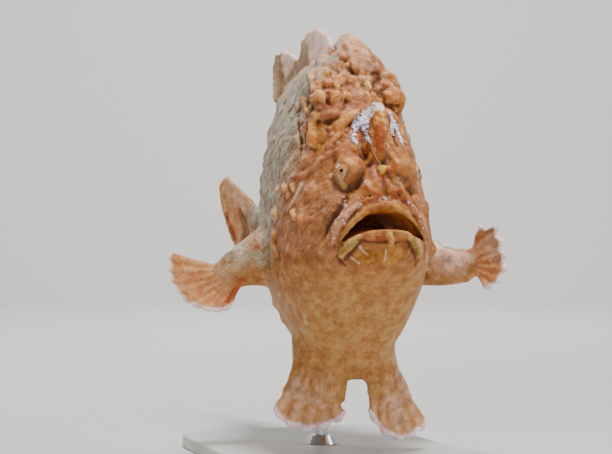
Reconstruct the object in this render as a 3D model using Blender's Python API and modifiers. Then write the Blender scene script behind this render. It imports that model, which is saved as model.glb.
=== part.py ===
"""A life-size giant frogfish hovering over a plain display stand.

The fish faces -Y and the stand's underside is the floor at z = 0. Sizes are in metres. Along the fish, back runs
from the lips towards the tail, up runs from the level of the mouth's corners, and x runs to the fish's left.
"""

import math
import random

import bmesh
import bpy
from mathutils import Vector
from mathutils.bvhtree import BVHTree

# Where the fish stands over the base
BASE_THICKNESS = 0.008
FOOT_CLEARANCE = 0.007
FOOT_DROP = 0.125
MOUTH_HEIGHT = BASE_THICKNESS + FOOT_CLEARANCE + FOOT_DROP
SNOUT_Y = -0.105
GAP = 0.0003

# The rear of the body swings a little to the fish's left, and the tail fin back to its right
BEND_START = 0.120
BEND = -0.56

# Body sections: back, top, bottom, level of the widest place, half width, upper and lower roundness
BODY = (
    (-0.001, 0.008, -0.010, -0.001, 0.017, 2.0, 2.0),
    (0.003, 0.017, -0.019, -0.003, 0.025, 2.0, 2.0),
    (0.008, 0.027, -0.027, -0.005, 0.030, 1.9, 2.0),
    (0.014, 0.038, -0.034, -0.007, 0.034, 1.7, 2.0),
    (0.022, 0.053, -0.046, -0.009, 0.0375, 1.6, 1.9),
    (0.031, 0.070, -0.066, -0.010, 0.041, 1.65, 1.8),
    (0.041, 0.087, -0.087, -0.011, 0.0435, 1.85, 1.6),
    (0.053, 0.099, -0.092, -0.012, 0.0450, 2.0, 1.65),
    (0.070, 0.103, -0.088, -0.013, 0.0445, 2.15, 1.8),
    (0.095, 0.101, -0.077, -0.012, 0.0410, 2.3, 1.9),
    (0.125, 0.097, -0.063, -0.006, 0.0325, 2.2, 1.9),
    (0.155, 0.087, -0.045, 0.002, 0.0240, 2.0, 1.9),
    (0.185, 0.060, -0.027, 0.005, 0.0165, 1.9, 1.9),
    (0.210, 0.034, -0.014, 0.005, 0.0115, 1.9, 1.9),
    (0.232, 0.018, -0.007, 0.005, 0.0080, 2.0, 2.0),
)
RING_POINTS = 28

# The mouth is an arch that hangs down at its corners
MOUTH_HALF_WIDTH = 0.025
CORNER_UP = -0.0115
CORNER_BACK = 0.008
UPPER_EDGE_UP = 0.0078
LOWER_EDGE_UP = -0.0014
UPPER_POWER = 3.0
LOWER_POWER = 2.5
LIP_RADIUS = 0.0032
MOUTH_DEPTH = 0.034

EYE_RADIUS = 0.0060
EYE_BULGE_RADIUS = 0.0094
EYE = (0.0158, 0.0125, 0.0305)
EYE_OUT = (0.0034, -0.0021, 0.0002)

# Flesh is parted into nodes along these planes, each a point (back, up) and a normal in the fish's middle plane
NECK = ((0.044, 0.020), (0.974, -0.228))
TAIL_STEM = ((0.190, 0.0), (1.0, 0.0))
SHOULDER = 0.0535
HIP_UP = -0.0895
JAW_BACK = 0.026
JAW_LOW = -0.030

FLESH_VOXEL = 0.0016
FLESH_TRIANGLES = 7000


def at(x, back, up):
    """A point given along the fish, in the stand's frame, with the swing of the tail."""
    past = max(0.0, back - BEND_START)
    return Vector((x - BEND * past * past, SNOUT_Y + back, MOUTH_HEIGHT + up))


def between(table, back, column):
    """A body size at any distance back, read between the sections."""
    for low, high in zip(table, table[1:]):
        if back <= high[0]:
            share = max(0.0, (back - low[0]) / (high[0] - low[0]))
            return low[column] + share * (high[column] - low[column])
    return table[-1][column]


def add_object(name, mesh_data, collection):
    obj = bpy.data.objects.new(name, mesh_data)
    collection.objects.link(obj)
    return obj


def from_bmesh(name, shape, collection):
    """An object from a bmesh, with its faces turned outwards."""
    bmesh.ops.recalc_face_normals(shape, faces=shape.faces)
    mesh_data = bpy.data.meshes.new(name)
    shape.to_mesh(mesh_data)
    shape.free()
    return add_object(name, mesh_data, collection)


def apply_modifiers(obj):
    """The object keeps its evaluated mesh, and its modifiers go."""
    bpy.context.view_layer.update()
    graph = bpy.context.evaluated_depsgraph_get()
    shaped = bpy.data.meshes.new_from_object(obj.evaluated_get(graph))
    obj.modifiers.clear()
    obj.data = shaped
    return obj


def joined(name, objects, collection):
    """One object with every piece's mesh in it. The pieces go."""
    shape = bmesh.new()
    for obj in objects:
        shape.from_mesh(obj.data)
        bpy.data.objects.remove(obj)
    mesh_data = bpy.data.meshes.new(name)
    shape.to_mesh(mesh_data)
    shape.free()
    return add_object(name, mesh_data, collection)


def copied(obj, name, collection):
    return add_object(name, obj.data.copy(), collection)


def boolean(obj, cutter, operation):
    cut = obj.modifiers.new(operation, "BOOLEAN")
    cut.operation = operation
    cut.object = cutter
    return apply_modifiers(obj)


def keep_largest(obj):
    """Drops every loose scrap that a cut left."""
    shape = bmesh.new()
    shape.from_mesh(obj.data)
    unseen = set(shape.faces)
    islands = []
    while unseen:
        front = [unseen.pop()]
        island = set(front)
        while front:
            face = front.pop()
            near = {other for edge in face.edges for other in edge.link_faces} & unseen
            unseen -= near
            island |= near
            front.extend(near)
        islands.append(island)
    islands.sort(key=lambda island: sum(face.calc_area() for face in island))
    scraps = [face for island in islands[:-1] for face in island]
    bmesh.ops.delete(shape, geom=scraps, context="FACES")
    shape.to_mesh(obj.data)
    shape.free()
    return obj


def loft(name, rings, collection):
    """A closed skin over rings of equally many points."""
    shape = bmesh.new()
    loops = [[shape.verts.new(point) for point in ring] for ring in rings]
    for near, far in zip(loops, loops[1:]):
        for k, point in enumerate(near):
            after = (k + 1) % len(near)
            shape.faces.new((point, near[after], far[after], far[k]))
    shape.faces.new(loops[0])
    shape.faces.new(loops[-1])
    return from_bmesh(name, shape, collection)


def smoothed(obj, levels):
    surface = obj.modifiers.new("Subdivision", "SUBSURF")
    surface.levels = surface.render_levels = levels
    return apply_modifiers(obj)


def ball(name, centre, radii, collection, segments=16):
    shape = bmesh.new()
    bmesh.ops.create_uvsphere(shape, u_segments=segments, v_segments=segments // 2, radius=1.0)
    bmesh.ops.scale(shape, vec=Vector(radii), verts=shape.verts)
    bmesh.ops.translate(shape, vec=centre, verts=shape.verts)
    return from_bmesh(name, shape, collection)


def tube(name, points, radii, collection, sides=2):
    """A closed tapering tube along points, made a mesh with its caps welded."""
    curve = bpy.data.curves.new(name, "CURVE")
    curve.dimensions = "3D"
    curve.bevel_depth = 1.0
    curve.bevel_resolution = sides
    curve.use_fill_caps = True
    spline = curve.splines.new("POLY")
    spline.points.add(len(points) - 1)
    for knot, point, radius in zip(spline.points, points, radii):
        knot.co = (*point, 1.0)
        knot.radius = radius
    guide = add_object(name, curve, collection)
    bpy.context.view_layer.update()
    graph = bpy.context.evaluated_depsgraph_get()
    mesh_data = bpy.data.meshes.new_from_object(guide.evaluated_get(graph))
    bpy.data.objects.remove(guide)
    shape = bmesh.new()
    shape.from_mesh(mesh_data)
    bmesh.ops.remove_doubles(shape, verts=shape.verts, dist=0.00001)
    return from_bmesh(name, shape, collection)


def limb(name, stations, across, thin, collection):
    """A fleshy limb: stations of centre, half width and half thickness, with oval sections."""
    rings = []
    for centre, half_width, half_thickness in stations:
        ring = []
        for k in range(12):
            turn = math.tau * k / 12
            offset = across * (half_width * math.cos(turn)) + thin * (half_thickness * math.sin(turn))
            ring.append(centre + offset)
        rings.append(ring)
    return smoothed(loft(name, rings, collection), 1)


def remeshed(obj, voxel, passes):
    """One closed skin round everything in the object, with its joins rounded."""
    skin = obj.modifiers.new("Remesh", "REMESH")
    skin.mode = "VOXEL"
    skin.voxel_size = voxel
    soften = obj.modifiers.new("Smooth", "SMOOTH")
    soften.iterations = passes
    return apply_modifiers(obj)


def body_shell(collection):
    """The trunk and head as one lofted form, without the mouth."""
    rings = []
    for back, top, bottom, widest, half_width, upper, lower in BODY:
        ring = []
        for k in range(RING_POINTS):
            turn = math.tau * k / RING_POINTS
            across, high = math.cos(turn), math.sin(turn)
            power = upper if high >= 0 else lower
            reach = top - widest if high >= 0 else widest - bottom
            x = half_width * math.copysign(abs(across) ** (2 / power), across)
            up = widest + reach * math.copysign(abs(high) ** (2 / power), high)
            ring.append(at(x, back, up))
        rings.append(ring)
    return smoothed(loft("body_shell", rings, collection), 1)


def mouth_up(share, middle_up, power):
    """The height of a mouth edge, where share is 0 in the middle and 1 at a corner."""
    return middle_up + (CORNER_UP - middle_up) * abs(share) ** power


def mouth_back(share, middle_back):
    return middle_back + (CORNER_BACK - middle_back) * abs(share) ** 1.6


def lip(name, middle_up, power, middle_back, radius, collection):
    """A rounded lip along one edge of the mouth."""
    points, radii = [], []
    for k in range(17):
        share = k / 8 - 1
        up = mouth_up(share, middle_up, power)
        points.append(at(share * MOUTH_HALF_WIDTH, mouth_back(share, middle_back), up))
        radii.append(radius * (1 - 0.35 * share * share))
    return tube(name, points, radii, collection)


def mouth_cavity(collection):
    """The dark crescent between the lips, narrowing as it goes in."""
    rings = []
    for back, scale in ((-0.020, 1.0), (0.006, 1.0), (0.020, 0.8), (MOUTH_DEPTH, 0.5)):
        ring = []
        for k in range(13):
            share = k / 6 - 1
            up = mouth_up(share, UPPER_EDGE_UP, UPPER_POWER) + 0.0005
            ring.append(at(share * MOUTH_HALF_WIDTH * scale, back, up * scale))
        for k in range(1, 12):
            share = 1 - k / 6
            up = mouth_up(share, LOWER_EDGE_UP, LOWER_POWER)
            ring.append(at(share * MOUTH_HALF_WIDTH * scale, back, up * scale))
        rings.append(ring)
    return loft("mouth_cavity", rings, collection)


def surface_of(obj):
    vertices = [vertex.co for vertex in obj.data.vertices]
    return BVHTree.FromPolygons(vertices, [polygon.vertices for polygon in obj.data.polygons])


def folds(skull, collection):
    """Swellings along every fold, half sunk in the front of the head."""
    surface = surface_of(skull)
    swellings = []
    for name, chain in FOLDS.items():
        beads = [chain[0]]
        for near, far in zip(chain, chain[1:]):
            steps = math.ceil(math.hypot(far[0] - near[0], far[1] - near[1]) / FOLD_STEP)
            for k in range(1, steps + 1):
                beads.append(tuple(a + (b - a) * k / steps for a, b in zip(near, far)))
        for x, up, radius in beads:
            hit, normal = surface.ray_cast(at(x, -0.08, up), Vector((0.0, 1.0, 0.0)))[:2]
            swellings.append(ball(name, hit - normal * (radius * FOLD_SINK), (radius,) * 3, collection, 12))
    return swellings


def make_flesh(collection):
    """Everything soft in one closed skin: trunk, head, arms and the roots of the legs."""
    x, back, up = EYE
    core = [body_shell(collection)]
    core.append(ball("muzzle", at(0, 0.015, 0.002), (0.0290, 0.0150, 0.0210), collection))
    core.append(ball("chin", at(0, 0.010, -0.012), (0.0240, 0.0125, 0.0115), collection))
    for side in (-1, 1):
        core.append(ball("crown", at(side * 0.0175, 0.0560, 0.0760), (0.0140, 0.0200, 0.0170), collection))
    skull = remeshed(joined("skull", core, collection), FLESH_VOXEL, 2)
    cavity = mouth_cavity(collection)
    boolean(skull, cavity, "DIFFERENCE")
    bpy.data.objects.remove(cavity)
    pieces = folds(skull, collection) + [skull]
    pieces.append(lip("upper_lip", UPPER_EDGE_UP + 0.0030, UPPER_POWER, -0.0018, LIP_RADIUS, collection))
    pieces.append(lip("lower_lip", LOWER_EDGE_UP - 0.0032, LOWER_POWER, -0.0036, LIP_RADIUS * 1.1, collection))
    for side in (-1, 1):
        pieces.append(ball("eye_bulge", at(side * x, back, up), (EYE_BULGE_RADIUS,) * 3, collection))
        pieces.append(ball("nostril", at(side * 0.0080, 0.0060, 0.0195), (0.0060, 0.0060, 0.0070), collection))
        pieces.append(ball("brow", at(side * 0.0150, 0.0210, 0.0400), (0.0070, 0.0080, 0.0060), collection))
        pieces.append(ball("cheek", at(side * 0.0230, 0.0120, 0.0060), (0.0075, 0.0080, 0.0140), collection))
    pieces.extend([right_arm(collection), left_arm(collection)])
    for side in (-1, 1):
        pieces.append(leg_root(side, collection))
    return remeshed(joined("flesh", pieces, collection), FLESH_VOXEL, 2)


# The camera side of each hand: the right one lies out to the side, the left one is pressed forward
RIGHT_REACH = Vector((-0.9455, 0.3256, 0.0))
RIGHT_FACE = Vector((0.3256, 0.9455, 0.0))
LEFT_REACH = Vector((0.817, -0.577, 0.0))
LEFT_SIDE = Vector((0.577, 0.817, 0.0))
UP = Vector((0.0, 0.0, 1.0))
LEG_FACE = Vector((0.0, 1.0, 0.0))
LEG_UP = Vector((0.0, 0.20, 0.98))


def leg_reach(side):
    """The direction in which a foot spreads, out and back."""
    return Vector((side * 0.927, 0.375, 0.0))


def right_arm(collection):
    stations = (
        (at(-0.026, 0.092, -0.012), 0.0230, 0.0170),
        (at(-0.040, 0.092, -0.0165), 0.0195, 0.0130),
        (at(-0.050, 0.092, -0.0200), 0.0160, 0.0095),
        (at(-0.0565, 0.092, -0.0225), 0.0127, 0.0065),
        (at(-0.063, 0.094, -0.0255), 0.0122, 0.0044),
        (at(-0.070, 0.0965, -0.0280), 0.0135, 0.0026),
    )
    return limb("right_arm", stations, UP, RIGHT_FACE, collection)


def left_arm(collection):
    stations = (
        (at(0.026, 0.090, -0.012), 0.021, 0.017),
        (at(0.043, 0.084, -0.017), 0.018, 0.013),
        (at(0.056, 0.075, -0.022), 0.0145, 0.0095),
        (at(0.068, 0.067, -0.024), 0.0115, 0.0070),
        (at(0.078, 0.060, -0.023), 0.0108, 0.0048),
        (at(0.085, 0.054, -0.020), 0.0120, 0.0028),
    )
    return limb("left_arm", stations, UP, LEFT_SIDE, collection)


def leg_root(side, collection):
    """A leg from the hip to where its fin begins. The right one is seen more broadside, and is the wider."""
    wide = 0.95 if side > 0 else 1.10
    stations = (
        (at(side * 0.0150, 0.0640, -0.050), 0.0150 * wide, 0.0200),
        (at(side * 0.0170, 0.0600, -0.067), 0.0150 * wide, 0.0150),
        (at(side * 0.0187, 0.0550, -0.082), 0.0152 * wide, 0.0095),
        (at(side * 0.0210, 0.0510, -0.094), 0.0162 * wide, 0.0055),
        (at(side * 0.0238, 0.0490, -0.103), 0.0177 * wide, 0.0026),
    )
    return limb("leg_root", stations, leg_reach(side), LEG_FACE, collection)


# Fleshy folds and pads on the head, each a chain of swellings: x, up and radius
FOLDS = {
    "crown_shelf_right": ((-0.0250, 0.0725, 0.0052), (-0.0165, 0.0725, 0.0052), (-0.0118, 0.0735, 0.0038)),
    "crown_slope_right": ((-0.0235, 0.0640, 0.0050), (-0.0160, 0.0640, 0.0042)),
    "hanging_fold_right": ((-0.0275, 0.0640, 0.0038), (-0.0300, 0.0545, 0.0036), (-0.0288, 0.0445, 0.0024)),
    "brow_fold_right": ((-0.0087, 0.0635, 0.0026), (-0.0160, 0.0595, 0.0032), (-0.0182, 0.0535, 0.0025)),
    "crown_edge_right": ((-0.0215, 0.0865, 0.0030), (-0.0250, 0.0785, 0.0034)),
    "crown_shelf_left": ((0.0170, 0.0755, 0.0046), (0.0235, 0.0745, 0.0050), (0.0235, 0.0685, 0.0034)),
    "crown_edge_left": ((0.0170, 0.0830, 0.0030), (0.0205, 0.0860, 0.0032)),
    "brow_fold_left": ((0.0130, 0.0655, 0.0024), (0.0185, 0.0620, 0.0026), (0.0235, 0.0560, 0.0022)),
    "temple_fold_right": ((-0.0192, 0.0525, 0.0024), (-0.0245, 0.0430, 0.0026), (-0.0290, 0.0345, 0.0024)),
    "temple_fold_left": ((0.0240, 0.0480, 0.0026), (0.0285, 0.0380, 0.0026)),
    "nose_knob": ((0.0000, 0.0325, 0.0024),),
    "nose_ridge": ((0.0010, 0.0420, 0.0026), (0.0005, 0.0370, 0.0020)),
    "snout_pad_right": ((-0.0095, 0.0240, 0.0028), (-0.0080, 0.0190, 0.0036), (-0.0110, 0.0145, 0.0026)),
    "snout_pad_left": ((0.0085, 0.0240, 0.0028), (0.0095, 0.0190, 0.0036), (0.0125, 0.0150, 0.0026)),
    "cheek_ridge_right": ((-0.0150, 0.0150, 0.0030), (-0.0222, 0.0066, 0.0034), (-0.0272, -0.0027, 0.0032)),
    "cheek_ridge_left": ((0.0160, 0.0150, 0.0030), (0.0222, 0.0055, 0.0032), (0.0260, -0.0035, 0.0028)),
    "jaw_pad_right": ((-0.0160, -0.0065, 0.0026), (-0.0206, -0.0105, 0.0030), (-0.0232, -0.0148, 0.0026)),
    "jaw_pad_left": ((0.0160, -0.0065, 0.0026), (0.0206, -0.0100, 0.0030), (0.0232, -0.0148, 0.0026)),
    "jaw_knob": ((0.0010, -0.0045, 0.0024), (0.0015, -0.0090, 0.0024)),
    "eye_pouch_right": ((-0.0195, 0.0235, 0.0042),),
    "eye_pouch_left": ((0.0185, 0.0235, 0.0042),),
}
FOLD_STEP = 0.0015
FOLD_SINK = 0.10

# Warts on the face: x, up, radius and height
FACE_WARTS = (
    (-0.0020, 0.0740, 0.0040, 0.0020),
    (0.0040, 0.0815, 0.0036, 0.0018),
    (-0.0125, 0.0815, 0.0036, 0.0018),
    (-0.0193, 0.0816, 0.0036, 0.0018),
    (0.0060, 0.0560, 0.0040, 0.0014),
    (-0.0330, 0.0380, 0.0055, 0.0024),
    (0.0330, 0.0300, 0.0055, 0.0024),
    (-0.0340, 0.0200, 0.0055, 0.0024),
    (0.0340, 0.0120, 0.0055, 0.0024),
    (-0.0380, 0.0040, 0.0060, 0.0026),
    (-0.0400, -0.0180, 0.0060, 0.0028),
    (0.0400, -0.0100, 0.0055, 0.0024),
    (-0.0260, -0.0300, 0.0050, 0.0018),
    (0.0260, -0.0320, 0.0050, 0.0018),
)
SIDE_WARTS = 46
WART_SEED = 7


def raise_warts(flesh):
    """Rounded warts pushed out of the flesh's own surface."""
    tree = surface_of(flesh)
    warts = []
    for x, up, radius, height in FACE_WARTS:
        hit = tree.ray_cast(at(x, -0.08, up), Vector((0.0, 1.0, 0.0)))[0]
        warts.append((hit, radius, height))
    draw = random.Random(WART_SEED)
    while len(warts) < len(FACE_WARTS) + SIDE_WARTS:
        side = draw.choice((-1, 1))
        start = at(side * 0.2, draw.uniform(0.035, 0.200), draw.uniform(-0.055, 0.095))
        hit = tree.ray_cast(start, Vector((-side, 0.0, 0.0)), 0.195)[0]
        radius = draw.uniform(0.0040, 0.0062)
        if hit and all((hit - other).length > radius + size for other, size, rise in warts):
            warts.append((hit, radius, radius * draw.uniform(0.35, 0.5)))
    for vertex in flesh.data.vertices:
        lift = 0.0
        for centre, radius, height in warts:
            share = (vertex.co - centre).length / radius
            if share < 1:
                lift = max(lift, height * (1 - share * share) ** 1.5)
        if lift:
            vertex.co += vertex.normal * lift


def reduced(obj, triangles):
    """Fewer faces where the surface is plain."""
    obj.data.calc_loop_triangles()
    fewer = obj.modifiers.new("Decimate", "DECIMATE")
    fewer.ratio = triangles / len(obj.data.loop_triangles)
    return apply_modifiers(obj)


def grown(flesh, collection):
    """The flesh a gap larger all round, which trims whatever grows from it."""
    shape = bmesh.new()
    shape.from_mesh(flesh.data)
    moves = [vertex.normal * GAP * min(2.0, vertex.calc_shell_factor()) for vertex in shape.verts]
    for vertex, move in zip(shape.verts, moves):
        vertex.co += move
    return from_bmesh("grown_flesh", shape, collection)


def half_space_block(name, planes, collection):
    """A large block cut by planes, each a point on it and the direction that is cut away."""
    shape = bmesh.new()
    bmesh.ops.create_cube(shape, size=0.8)
    for point, away in planes:
        everything = shape.verts[:] + shape.edges[:] + shape.faces[:]
        bmesh.ops.bisect_plane(shape, geom=everything, plane_co=point, plane_no=away, clear_outer=True)
        rim = [edge for edge in shape.edges if edge.is_boundary]
        bmesh.ops.holes_fill(shape, edges=rim, sides=0)
    return from_bmesh(name, shape, collection)


def plane_of(cut, direction):
    """A parting plane, shifted half a gap to the side that is kept. direction 1 cuts away what lies behind it."""
    (back, up), (normal_back, normal_up) = cut
    normal = Vector((0.0, normal_back, normal_up)) * direction
    return at(0, back, up) - normal * (GAP / 2), normal


def side_plane(distance, side, direction):
    """A parting plane across an arm. direction 1 cuts away what lies further out."""
    normal = Vector((side * direction, 0.0, 0.0))
    return Vector((side * distance, 0.0, 0.0)) - normal * (GAP / 2), normal


def level_plane(up, direction):
    """A level parting plane. direction 1 cuts away what lies above it."""
    normal = Vector((0.0, 0.0, direction))
    return at(0, 0, up) - normal * (GAP / 2), normal


def jaw_block(swell, collection):
    """The space of the lower jaw, under a curve that runs between the lips."""
    middle = (UPPER_EDGE_UP + LOWER_EDGE_UP) / 2
    half = MOUTH_HALF_WIDTH + 0.002
    outline = []
    for k in range(13):
        share = k / 6 - 1
        outline.append((share * half, mouth_up(share, middle, LOWER_POWER) + swell))
    outline[0] = (outline[0][0] - swell, outline[0][1])
    outline[-1] = (outline[-1][0] + swell, outline[-1][1])
    outline.append((half + swell, JAW_LOW + 0.006))
    outline.append((half - 0.008, JAW_LOW - swell))
    outline.append((0.008 - half, JAW_LOW - swell))
    outline.append((-half - swell, JAW_LOW + 0.006))
    rings = [[at(x, back, up) for x, up in outline] for back in (-0.03, JAW_BACK + swell)]
    return loft("jaw_block", rings, collection)


def parted(name, flesh, planes, collection, spare):
    """The stretch of flesh between parting planes, as a node of its own."""
    block = half_space_block("block", planes, spare)
    node = copied(flesh, name, collection)
    boolean(node, block, "INTERSECT")
    bpy.data.objects.remove(block)
    return keep_largest(node)


def cut_by(obj, cutter):
    boolean(obj, cutter, "DIFFERENCE")
    return keep_largest(obj)


def fin_sheet(name, columns, rows, place, thickness, relief, collection):
    """A fin as one curved sheet with its rays raised in it.

    place gives the point at a share of the height and a share across; relief gives the share of the thickness there.
    """
    shape = bmesh.new()
    bmesh.ops.create_grid(shape, x_segments=columns, y_segments=rows, size=1.0)
    weights = []
    for vertex in shape.verts:
        across = (vertex.co.x + 1) / 2
        high = (vertex.co.y + 1) / 2
        vertex.co = place(high, across)
        weights.append(relief(high, across))
    bmesh.ops.triangulate(shape, faces=shape.faces)
    mesh_data = bpy.data.meshes.new(name)
    shape.to_mesh(mesh_data)
    shape.free()
    fin = add_object(name, mesh_data, collection)
    group = fin.vertex_groups.new(name="thickness")
    for index, weight in enumerate(weights):
        group.add([index], weight, "REPLACE")
    solid = fin.modifiers.new("Solidify", "SOLIDIFY")
    solid.thickness = thickness
    solid.offset = 0.0
    solid.vertex_group = "thickness"
    apply_modifiers(fin)
    fin.vertex_groups.clear()
    return fin


def ray_relief(rays, root, valley):
    """Thickness shares of a rayed fin: full on each ray, valley between them, thinner towards the edge."""

    def relief(high, across):
        ridge = 0.5 + 0.5 * math.cos(math.tau * (across * rays + 0.5))
        body = root + (1 - root) * (1 - high)
        return min(1.0, body * (valley + (1 - valley) * ridge) + 0.25 * (1 - high) ** 3)

    return relief


def scallop(rays, depth, across):
    """The share of full length at the fin's edge, shortest between two rays."""
    return 1 - depth * (0.5 + 0.5 * math.cos(math.tau * across * rays))


def fan_place(apex, along, up, angles, lengths, start, rays, bow, curl=0.0):
    """Points of a fan that spreads from an apex, with its ray length at shares of the way across.

    bow bends its edge to one side, and curl bends the first rays at their roots, in degrees.
    """
    normal = along.cross(up)

    def place(high, across):
        angle = angles[0] + (angles[1] - angles[0]) * across
        angle = math.radians(angle - curl * (1 - high) * (1 - across) ** 2)
        length = between(lengths, across, 1)
        reach = start + (length * scallop(rays, 0.07, across) - start) * high
        direction = along * math.cos(angle) + up * math.sin(angle)
        return apex + direction * reach + normal * (bow * (reach / length) ** 2 * length)

    return place


def pectoral_fin_right(collection):
    apex = at(-0.050, 0.0900, -0.0225)
    lengths = ((0, 0.0480), (0.25, 0.0475), (0.5, 0.0435), (0.8, 0.0345), (0.92, 0.0300), (1, 0.0230))
    place = fan_place(apex, RIGHT_REACH, UP, (10, -68), lengths, 0.010, 10, -0.10, 9)
    return fin_sheet("pectoral_fin_right", 20, 7, place, 0.0036, ray_relief(10, 0.45, 0.45), collection)


def pectoral_fin_left(collection):
    along = Vector((0.515, -0.857, 0.0))
    lengths = ((0, 0.020), (0.25, 0.0275), (0.38, 0.030), (0.55, 0.029), (0.78, 0.0325), (0.93, 0.0255), (1, 0.018))
    place = fan_place(at(0.0770, 0.0600, -0.0225), along, UP, (-46, 70), lengths, 0.003, 10, 0.12)
    return fin_sheet("pectoral_fin_left", 20, 7, place, 0.0036, ray_relief(10, 0.45, 0.45), collection)


def pelvic_fin(side, collection):
    if side > 0:
        name, angles = "pelvic_fin_left", (-103, -55)
        lengths = ((0, 0.0430), (0.3, 0.0560), (0.6, 0.0630), (0.85, 0.0640), (1, 0.0625))
    else:
        name, angles = "pelvic_fin_right", (-103, -51)
        lengths = ((0, 0.0445), (0.2, 0.0490), (0.5, 0.0530), (0.8, 0.0550), (1, 0.0500))
    apex = at(side * 0.0155, 0.0585, -0.0655)
    place = fan_place(apex, leg_reach(side), LEG_UP, angles, lengths, 0.014, 5, 0.06 * side)
    return fin_sheet(name, 15, 8, place, 0.0042, ray_relief(5, 0.42, 0.45), collection)


def caudal_fin(collection):
    along = Vector((-0.333, 0.943, 0.0))
    lengths = ((0, 0.0475), (0.16, 0.050), (0.37, 0.054), (0.53, 0.0583), (0.7, 0.065), (0.87, 0.0705), (1, 0.065))
    place = fan_place(at(0.0, 0.221, 0.0060), along, UP, (-34, 28), lengths, 0.012, 9, 0.05)
    return fin_sheet("caudal_fin", 18, 8, place, 0.0044, ray_relief(9, 0.35, 0.5), collection)


DORSAL_ROOT = (0.086, 0.163)
DORSAL_RAYS = 13
ANAL_ROOT = (0.166, 0.208)

# Free height of the soft dorsal fin at shares of its length: a high front, a dip and a rounded rear lobe
DORSAL_EDGE = (
    (0.00, 0.006),
    (0.10, 0.0155),
    (0.25, 0.023),
    (0.42, 0.0235),
    (0.52, 0.020),
    (0.57, 0.012),
    (0.62, 0.0125),
    (0.70, 0.020),
    (0.80, 0.026),
    (0.90, 0.028),
    (0.95, 0.023),
    (1.00, 0.004),
)
DORSAL_SUNK = 0.012


def dorsal_fin(collection):
    """The soft dorsal fin, high in front, with a rounded rear lobe that turns to the fish's right."""

    def place(high, across):
        back = DORSAL_ROOT[0] + (DORSAL_ROOT[1] - DORSAL_ROOT[0]) * across
        root_up = between(BODY, back, 1) - DORSAL_SUNK
        height = DORSAL_SUNK + between(DORSAL_EDGE, across, 1) * scallop(DORSAL_RAYS, 0.06, across)
        lean = math.radians(2 + 24 * across)
        turn = 0.0012 * math.sin(9 * across + 1.0) * high - 0.020 * high * max(0.0, across - 0.45)
        return at(turn, back + height * high * math.sin(lean), root_up + height * high * math.cos(lean))

    return fin_sheet("soft_dorsal_fin", 26, 7, place, 0.0062, ray_relief(DORSAL_RAYS, 0.35, 0.6), collection)


def anal_fin(collection):
    rays = 8

    def place(high, across):
        back = ANAL_ROOT[0] + (ANAL_ROOT[1] - ANAL_ROOT[0]) * across
        root_up = between(BODY, back, 2) + 0.010
        rise = min(1.0, math.sin(math.pi * min(1.0, across * 2.2) / 2) + 0.15)
        height = 0.010 + 0.026 * rise * scallop(rays, 0.07, across)
        lean = math.radians(38 + 26 * across)
        return at(0.0, back + height * high * math.sin(lean), root_up - height * high * math.cos(lean))

    return fin_sheet("anal_fin", 16, 7, place, 0.0046, ray_relief(rays, 0.4, 0.5), collection)


def second_dorsal_spine(collection):
    """The stout upright spine over the eyes."""
    stations = ((0.016, 0.038, 0.0070), (0.0125, 0.044, 0.0066), (0.0105, 0.052, 0.0062), (0.0095, 0.060, 0.0060))
    stations += ((0.0095, 0.0655, 0.0046), (0.0100, 0.0690, 0.0022))
    points = [at(0, back, up) for back, up, radius in stations]
    radii = [radius for back, up, radius in stations]
    spine = tube("dorsal_spine_second", points, radii, collection, 1)
    return smoothed(spine, 1)


def third_dorsal_spine(collection):
    """The broad blunt spine on the crown, curved back."""
    stations = ((0.054, 0.084, 0.0185), (0.056, 0.094, 0.0150), (0.0590, 0.102, 0.0112), (0.0625, 0.108, 0.0080))
    stations += ((0.0650, 0.1110, 0.0040),)
    points = [at(0.0057 - (up - 0.084) * 0.22, back, up) for back, up, radius in stations]
    radii = [radius for back, up, radius in stations]
    spine = tube("dorsal_spine_third", points, radii, collection, 2)
    return smoothed(spine, 1)


def illicium(collection, spare):
    """The fishing rod, laid back beside the second spine, with its frilled lure."""
    stem = ((0.0, 0.0120, 0.0290), (-0.0005, 0.0030, 0.0330), (-0.0050, 0.0035, 0.0440), (-0.0082, 0.0080, 0.0540))
    stem += ((-0.0095, 0.0110, 0.0600),)
    rod = tube("illicium", [at(*point) for point in stem], (0.0020, 0.0015, 0.0010, 0.0009, 0.0009), collection)
    tip = at(*stem[-1])
    frills = bpy.data.collections.new("frills")
    bpy.context.scene.collection.children.link(frills)
    ball("lure", tip, (0.0022, 0.0020, 0.0028), frills, 8)
    for k in range(6):
        turn = math.tau * k / 6
        way = Vector((0.75 * math.cos(turn), -0.35, 0.75 * math.sin(turn) + 0.25))
        reach = 0.0056 + 0.0012 * (k % 2)
        points = [tip, tip + way * (reach * 0.55), tip + way * reach]
        tube("frill", points, (0.0012, 0.0009, 0.0004), frills, 1)
    fuse = rod.modifiers.new("Union", "BOOLEAN")
    fuse.operation = "UNION"
    fuse.operand_type = "COLLECTION"
    fuse.collection = frills
    fuse.solver = "EXACT"
    apply_modifiers(rod)
    for obj in list(frills.objects):
        bpy.data.objects.remove(obj)
    bpy.data.collections.remove(frills)
    return keep_largest(rod)


def eye(side, collection):
    name = "eye_left" if side > 0 else "eye_right"
    x, back, up = (EYE[k] + EYE_OUT[k] for k in range(3))
    return ball(name, at(side * x, back, up), (EYE_RADIUS,) * 3, collection, 14)


STAND_HALF_X = 0.070
STAND_HALF_Y = 0.085
STAND_CORNER = 0.022
ROD_RADIUS = 0.004
ROD_Y = 0.0
COLLAR_RADIUS = 0.010
COLLAR_HEIGHT = 0.005


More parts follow.
